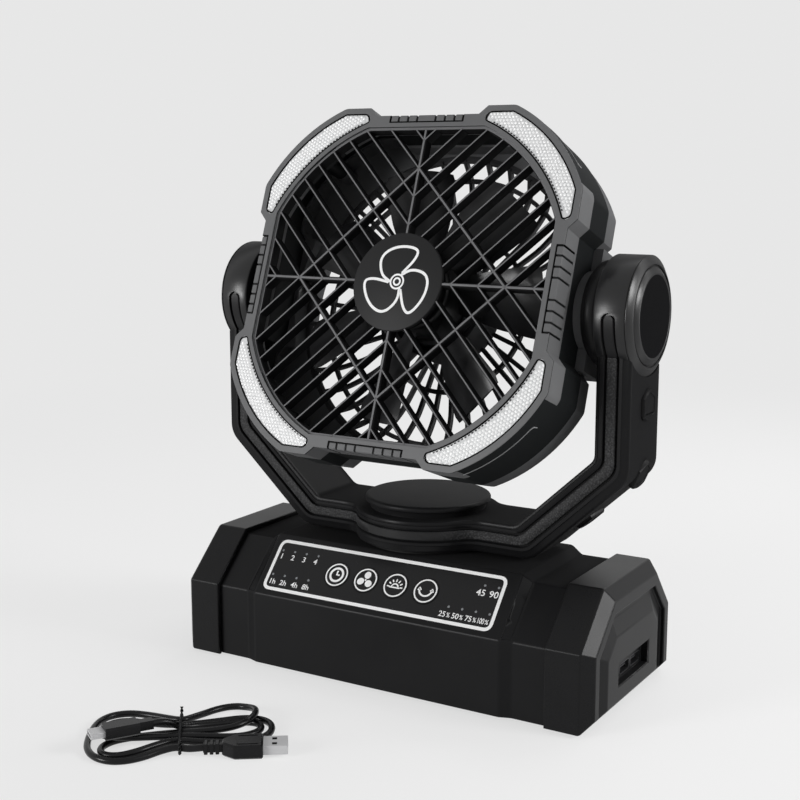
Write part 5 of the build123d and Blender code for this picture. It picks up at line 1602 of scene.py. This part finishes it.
# ---- head fittings
@dataclass
class HeadFittings:
    """Tread blocks, raised corner lines, clutch discs and the rear guard of the head.

    Attributes:
        tread, tread_floor, tread_line, tread_cap: profiles across a side, rows of (from the middle, out).
        cuts: places of the cuts between the blocks, from the middle of a side.
        cut: half width of each.
        frame_width: width of the dark frame round the blocks, a painted shade of the gap.
        line_radius, line_centre: the corner wall's radius and its middle from the axis, along both sides.
        line_depth: the corner line's place behind the face.
        line_angles: where it starts and ends.
        clutch, rim, cup: profiles, rows of (radius, height).
        spokes: spokes of the rear guard.
        bar_half: half width and half thickness of its bars.
        rings: radii of its rings.
        guard: middle of a spoke, rows of (radius, height).
    """

    tread: tuple = ((90.3, -1.4), (90.3, -0.25), (90.6, 0.05), (93.3, 0.05), (93.85, -0.5), (93.85, -14.2),
                    (93.6, -14.5), (92.4, -14.5), (92.4, -1.4))
    tread_floor: tuple = ((89.7, -1.4), (89.7, -0.75), (93.15, -0.75), (93.15, -14.4), (92.4, -14.4), (92.4, -1.4))
    tread_line: tuple = ((89.7, -0.3), (89.7, 0.07), (90.2, 0.07), (90.2, -0.3))
    tread_cap: tuple = ((89.7, -0.3), (89.7, 0.07), (93.4, 0.07), (93.95, -0.5), (93.95, -14.2), (93.0, -14.2),
                        (93.0, -0.3))
    cuts: tuple = (5.75, 11.5, 17.4, 22.7)
    cut: float = 0.6
    frame_width: float = 0.5
    line_radius: float = 91.1
    line_centre: float = 15.47
    line_depth: float = -9.5
    line_angles: Pair = (36.0, 64.0)
    clutch: tuple = ((0, 99), (24, 99), (24.5, 99.4), (24.5, 101.5), (26.5, 101.6), (27.6, 102.2), (28, 103.2),
                     (28, 106.3), (27.4, 107.2), (26.5, 107.5), (0, 107.5))
    spokes: int = 36
    bar_half: Pair = (1.3, 1.75)
    rings: tuple = (46.0, 78.0)
    guard: tuple = ((28.0, -68.25), (62.0, -68.25), (78.25, -62.25), (87.25, -49.4))
    rim: tuple = ((85.4, -52.4), (85.4, -50.2), (86.2, -49.5), (88.4, -49.5), (89, -50), (89, -52.2),
                  (87.5, -53.4), (86.2, -53.4), (85.4, -52.4))
    cup: tuple = ((0, -70), (28.6, -70), (29.6, -69.6), (30, -68.6), (30, -45), (27.5, -45), (27.5, -66.4),
                  (0, -66.4))

    def bar(self, profile: Sequence, low: float, high: float) -> Shape:
        """A profile in the plane across a side, drawn out along the side."""
        section = np.array(profile, float)
        rows = [np.column_stack([section[:, 0], np.full(len(section), v), section[:, 1]]) for v in (low, high)]
        return Shape.grid(np.stack(rows), close_columns=True, caps=True)

    def treads(self) -> None:
        """Blocks between the cuts over a darker floor, on all four sides; the floor and the dark frames round the
        blocks are painted shade.
        """
        edges = [-c for c in self.cuts[::-1]] + list(self.cuts)
        blocks = [self.bar(self.tread, a + self.cut, b - self.cut) for a, b in zip(edges, edges[1:])]
        sides = Shape.joined([block.turned(90 * k) for k in range(4) for block in blocks])
        sides.piece("grip_treads", HEAD).stands_for("grip_inserts").soften(0.25).dress(Paint.tread_grey, Part.HEAD)
        end = self.cuts[-1]
        # black floor under the cuts between the blocks: painted shade in the cuts
        floor = self.bar(self.tread_floor, -end - 0.15, end + 0.15)
        floors = Shape.joined([floor.turned(90 * k) for k in range(4)])
        floors.piece("grip_floors", HEAD).dress(Finish.shell_black, Part.HEAD)
        # dark frames round the blocks: painted shade in the gaps
        line = self.bar(self.tread_line, -end - self.frame_width, end + self.frame_width)
        cap = self.bar(self.tread_cap, end, end + self.frame_width)
        frames = [line, cap, cap.mirrored(1)]
        shape = Shape.joined([one.turned(90 * k) for k in range(4) for one in frames])
        shape.piece("grip_frames", HEAD).dress(Paint.gap_dark, Part.HEAD)

    def corner_lines(self) -> None:
        """Thin raised line round each corner wall, with a short hook to the rear.

        A flat ribbon whose first coordinate is wrapped round the corner: angle = length / radius.
        """
        start, end = np.radians(self.line_angles) * self.line_radius
        depth = self.line_depth
        path = round_path([(start - 0.5, depth - 4.5), (start, depth), (end, depth)], (0.0, 4.0, 0.0), 12)
        path = np.concatenate([path[:-1], np.linspace(path[-2], path[-1], 40)[1:]])
        flat = Shape.ribbon(path, 0.6, -0.25, 0.35, soft=0.15)
        angle, height = flat.points[:, 0] / self.line_radius, flat.points[:, 2]
        reach = self.line_radius + height
        points = np.stack([self.line_centre + reach * np.cos(angle), self.line_centre + reach * np.sin(angle),
                           flat.points[:, 1]], -1)
        right = Shape(points, flat.faces)
        low = right.mirrored(1)
        lines = Shape.joined([right, low, right.mirrored(), low.mirrored()])
        lines.piece("corner_lines", HEAD).dress(Paint.line_grey, Part.HEAD)

    def rear_guard(self) -> None:
        """Spokes along a rounded path, rings on it, the rim and the motor cup.

        A bar's section is half width and half thickness times the square roots of |cos| and |sin|, with
        their signs, in ten steps.
        """
        path = round_path(self.guard, (0, 6.0, 6.0, 0), 7)
        along = np.gradient(path, axis=0)
        along /= np.linalg.norm(along, axis=1, keepdims=True)
        out = np.stack([-along[:, 1], along[:, 0]], -1)
        t = np.radians(np.arange(0, 360, 36) + 18)
        side, lift = (half * np.sign(wave) * np.abs(wave) ** 0.5
                      for half, wave in zip(self.bar_half, (np.cos(t), np.sin(t))))
        radius = path[:, None, 0] + out[:, None, 0] * lift
        height = path[:, None, 1] + out[:, None, 1] * lift
        spoke = Shape.grid(np.stack([radius, side + 0 * radius, height], -1), close_columns=True, caps=True)
        shapes = [spoke.turned(360 * k / self.spokes) for k in range(self.spokes)]
        for r in self.rings:
            ring = np.column_stack([r + side, np.interp(r, path[:, 0], path[:, 1]) + lift])
            shapes.append(Shape.lathe(np.concatenate([ring, ring[:1]]), 96))
        shapes += [Shape.lathe(self.rim, 128), Shape.lathe(self.cup, 96)]
        Shape.joined(shapes).piece("rear_cage", HEAD, 40).stands_for("rear_guard").dress(Paint.rear_bars, Part.HEAD)

    def build(self) -> None:
        """Make all fittings."""
        self.treads()
        self.corner_lines()
        for side, bench in AXLES.items():
            clutch = Shape.lathe(self.clutch, 128).piece(f"{side}_clutch", bench)
            clutch.stands_for(f"{side}_friction_disc").dress(Finish.shell_black, Part.HEAD)
        self.rear_guard()


@dataclass
class FanWheel:
    """Impeller with seven cambered blades on a cup-shaped hub.

    Attributes:
        blades: how many.
        stations: rows of (radius, chord, pitch in degrees).
        root, tip: radii of a blade's two ends.
        tip_start, tip_round: where the tip starts to round off, and over what length.
        middle: height of the blades' middle.
        thick, camber: a blade's thickness and bow.
        camber_radius: the radius at which the bow is full.
        hub: the cup's profile, rows of (radius, height).
    """

    blades: int = 7
    stations: tuple = ((20.0, 20.0, 42.0), (46.0, 33.0, 31.0), (76.0, 42.0, 23.0))
    root: float = 20.0
    tip: float = 74.0
    tip_start: float = 68.0
    tip_round: float = 14.0
    middle: float = -31.0
    thick: float = 1.6
    camber: float = 2.2
    camber_radius: float = 50.0
    hub: tuple = ((0, -20), (19, -20), (20.5, -20.4), (21.6, -21.5), (22, -23), (22, -42), (19.5, -42),
                  (19.5, -22.5), (0, -22.5))

    def blade(self) -> Shape:
        """One blade: at each radius a thin bowed section at the radius's pitch, wrapped round the axis.

        Along the chord the section rises by camber times 1 - c^2 and thins towards both edges.
        """
        radius = np.linspace(self.root, self.tip, 14)[:, None]
        known, widths, pitches = np.array(self.stations).T
        rounded = np.sqrt(np.clip(1 - ((radius - self.tip_start) / self.tip_round).clip(0) ** 2, 0.2, 1))
        chord = np.interp(radius, known, widths) / 2 * rounded
        pitch = np.radians(np.interp(radius, known, pitches))
        c = np.concatenate([np.linspace(-1, 1, 13), np.linspace(1, -1, 13)[1:-1]])
        sign = np.concatenate([np.ones(13), -np.ones(11)])
        half = self.thick / 2 * np.sqrt(np.clip(1 - c ** 2, 0.05, 1))
        up = self.camber * (1 - c ** 2) * (radius / self.camber_radius) + half * sign - self.camber * 0.5
        tangent = chord * c * np.cos(pitch) - up * np.sin(pitch)
        height = self.middle + chord * c * np.sin(pitch) + up * np.cos(pitch)
        angle = tangent / radius
        points = np.stack([radius * np.cos(angle), radius * np.sin(angle), height], -1)
        return Shape.grid(points, close_columns=True, caps=True)

    def build(self) -> None:
        """Make the hub and the blades."""
        blade = self.blade()
        blades = [blade.turned(360 * k / self.blades) for k in range(self.blades)]
        wheel = Shape.joined([Shape.lathe(self.hub, 96), *blades])
        wheel.piece("fan_wheel", HEAD, 40).stands_for("impeller").dress(Finish.fan_black, Part.FAN)


# ---- studio
@dataclass(frozen=True)
class Lamp:
    """Large soft lamp.

    Attributes:
        name: its name.
        place, aim: where it stands and the point that it faces, metres.
        size: width and height, metres.
        power: watts.
    """

    name: str
    place: Triple
    aim: Triple
    size: Pair
    power: float

    def build(self) -> None:
        """Make the lamp and turn it to its aim."""
        lamp = bpy.data.lights.new(self.name, "AREA")
        lamp.shape, lamp.energy = "RECTANGLE", self.power
        lamp.size, lamp.size_y = self.size
        thing = bpy.data.objects.new(self.name, lamp)
        thing.location = self.place
        thing.rotation_euler = (Vector(self.aim) - Vector(self.place)).to_track_quat("-Z", "Y").to_euler()
        bpy.context.scene.collection.objects.link(thing)


@dataclass
class Studio:
    """Camera, lamps, floor and backdrop.

    Attributes:
        eye: the camera's place, millimetres.
        yaw, down: how far it is turned to the left and down, degrees.
        lens, sensor: its lens and sensor width, millimetres.
        floor_grey: the floor as the lamps' light sees it.
        floor_keep, floor_glow: the part of it that takes shadow and the part that glows, where it is seen.
        floor_fade: where the floor passes into the backdrop's colour, metres from the middle.
        floor_radius: the floor's radius, metres.
        wall_grey: the backdrop.
        ambient: strength of the surroundings' light.
        lamps: the lamps.
    """

    eye: Triple = (377.6, -658.2, 281.1)
    yaw: float = 31.06
    down: float = 9.69
    lens: float = 61.37
    sensor: float = 36.0
    floor_grey: float = 0.80
    floor_keep: float = 0.30
    floor_glow: float = 0.62
    wall_grey: float = 0.80
    ambient: float = 0.26
    floor_fade: Pair = (0.45, 1.2)
    floor_radius: float = 1.5
    lamps: tuple[Lamp, ...] = (
        Lamp("key", (-0.75, -1.35, 0.36), (0, 0, 0.15), (0.5, 0.55), 14.0),
        Lamp("side", (1.35, 0.14, 0.74), (0, 0, 0.15), (0.45, 0.4), 10.0),
        Lamp("edge", (1.27, 0.74, 0.36), (0, 0, 0.12), (0.4, 0.55), 4.0),
        Lamp("rim", (0.2, 1.2, 1.2), (0, 0, 0.2), (1.4, 0.5), 8.0))

    def make_camera(self) -> None:
        """Camera at the eye, turned by its yaw to the left and pitch down."""
        camera = bpy.data.objects.new("camera", bpy.data.cameras.new("camera"))
        camera.data.lens = self.lens
        camera.data.sensor_width = self.sensor
        camera.data.sensor_fit = "HORIZONTAL"
        camera.data.clip_start = 0.01
        camera.location = Vector(self.eye) * MM
        yaw, down = math.radians(self.yaw), math.radians(self.down)
        ahead = Vector((-math.sin(yaw) * math.cos(down), math.cos(yaw) * math.cos(down), -math.sin(down)))
        camera.rotation_euler = ahead.to_track_quat("-Z", "Y").to_euler()
        bpy.context.scene.collection.objects.link(camera)
        bpy.context.scene.camera = camera

    def make_floor(self) -> None:
        """Pale round floor that fades into the backdrop's colour where it is seen, and keeps the shadow."""
        mesh = bpy.data.meshes.new("floor")
        outline = circle(self.floor_radius, 96)
        mesh.from_pydata(np.column_stack([outline, 0 * outline[:, 0]]).tolist(), [], [list(range(len(outline)))])
        floor = bpy.data.objects.new("floor", mesh)
        bpy.context.scene.collection.objects.link(floor)
        shader = Shader(bpy.data.materials.new("floor_card"))
        x, y, _ = shader.split(shader.place())
        away = (x * x + y * y).maths("SQRT")

        def sheet(kind: str, grey: float) -> Value:
            """Plain grey surface."""
            return shader.node(kind, {}, {"Color": (grey, grey, grey, 1.0)})

        matt, glow = "ShaderNodeBsdfDiffuse", "ShaderNodeEmission"
        parts = {0: sheet(matt, self.floor_keep), 1: sheet(glow, self.floor_glow)}
        near, wall = shader.node("ShaderNodeAddShader", {}, parts), sheet(glow, self.wall_grey)
        card = shader.node("ShaderNodeMixShader", {}, {0: away.ramp(*self.floor_fade), 1: near, 2: wall})
        plain = sheet(matt, self.floor_grey)
        shader.end(shader.node("ShaderNodeMixShader", {}, {0: shader.seen(), 1: plain, 2: card}))
        mesh.materials.append(shader.owner)

    def make_world(self) -> None:
        """Soft white surroundings: plain for the lighting, the backdrop's colour where they are seen."""
        world = bpy.data.worlds.new("surroundings")
        bpy.context.scene.world = world
        shader = Shader(world)
        soft, wall = (shader.node("ShaderNodeBackground", {}, {"Color": (grey, grey, grey, 1.0), "Strength": strength})
                      for grey, strength in ((1.0, self.ambient), (self.wall_grey, 1.0)))
        mix = shader.node("ShaderNodeMixShader", {}, {0: shader.seen(), 1: soft, 2: wall})
        shader.end(mix, "ShaderNodeOutputWorld")

    def build(self) -> None:
        """Set everything up."""
        bpy.context.scene.view_settings.view_transform = "Standard"
        self.make_camera()
        self.make_floor()
        self.make_world()
        for lamp in self.lamps:
            lamp.build()


# ---- carried-over nodes
@dataclass(frozen=True)
class Copied:
    """How a CAD node's hard-edged form is carried over.

    Attributes:
        name, body, finish: what the copy is called, rides on and wears.
        width: rounding of its edges, millimetres.
        sharp: degrees above which an edge stays sharp.
        longer: edges shorter than this are not rounded, millimetres.
    """

    name: str
    body: Part
    finish: Union[Finish, Paint]
    width: float
    sharp: float = 30.0
    longer: float = 0.0


COPIED = {
    "base_housing": Copied("centre_shell", Part.BASE, Paint.house_black, 1.0, 12.0, 6.0),
    "left_end_cap": Copied("left_cap", Part.BASE, Paint.cap_black, 0.8, 12.0, 8.0),
    "right_end_cap": Copied("right_cap", Part.BASE, Paint.cap_black, 0.8, 12.0, 8.0),
    "base_tray": Copied("floor_tray", Part.BASE, Finish.shell_black, 0.4),
    "control_panel": Copied("panel_plate", Part.BASE, Finish.panel_gloss, 0.3),
    "yoke_rear_cover": Copied("yoke_back", Part.YOKE, Finish.shell_black, 0.5),
    "front_bezel": Copied("front_shell", Part.HEAD, Paint.two_tone, 0.5),
    "rear_housing": Copied("rear_shell", Part.HEAD, Paint.rear_grey, 0.6),
}
REPAINTED = {"turntable_washer": Paint.washer_dark, "usb_a_ports": Paint.port_shell, "usb_c_port": Paint.port_shell,
             "usb_a_connector": Paint.plug_shell, "usb_c_connector": Paint.plug_shell}


def soften_nodes() -> None:
    """Stand-ins for hard-edged CAD nodes: merged copies with rounded edges."""
    for node, how in COPIED.items():
        piece = Piece.of_node(how.name, node, how.sharp)
        piece.soften(how.width, 3 if how.longer else 2, max(how.sharp, 14.0), how.longer)
        piece.dress(how.finish, how.body)


def dress_nodes() -> None:
    """Every remaining CAD node gets its slot's finish."""
    for entry in frame["record"]["subparts"]:
        node = frame["nodes"][entry["node"]]
        node.data.materials.clear()
        node.data.materials.append(surface(REPAINTED.get(entry["node"], Finish[entry["material_slot"]])))


def main() -> None:
    """Build every piece in order."""
    logging.basicConfig(level=logging.INFO)
    Studio().build()
    ChargingCable().build()
    dress_nodes()
    soften_nodes()
    for assembly in (FrontGrille(), CornerLamps(), ControlPanel(), Yoke(), HeadFittings(), FanWheel()):
        log.info("building %s", type(assembly).__name__)
        assembly.build()


if __name__ == "__main__":
    main()
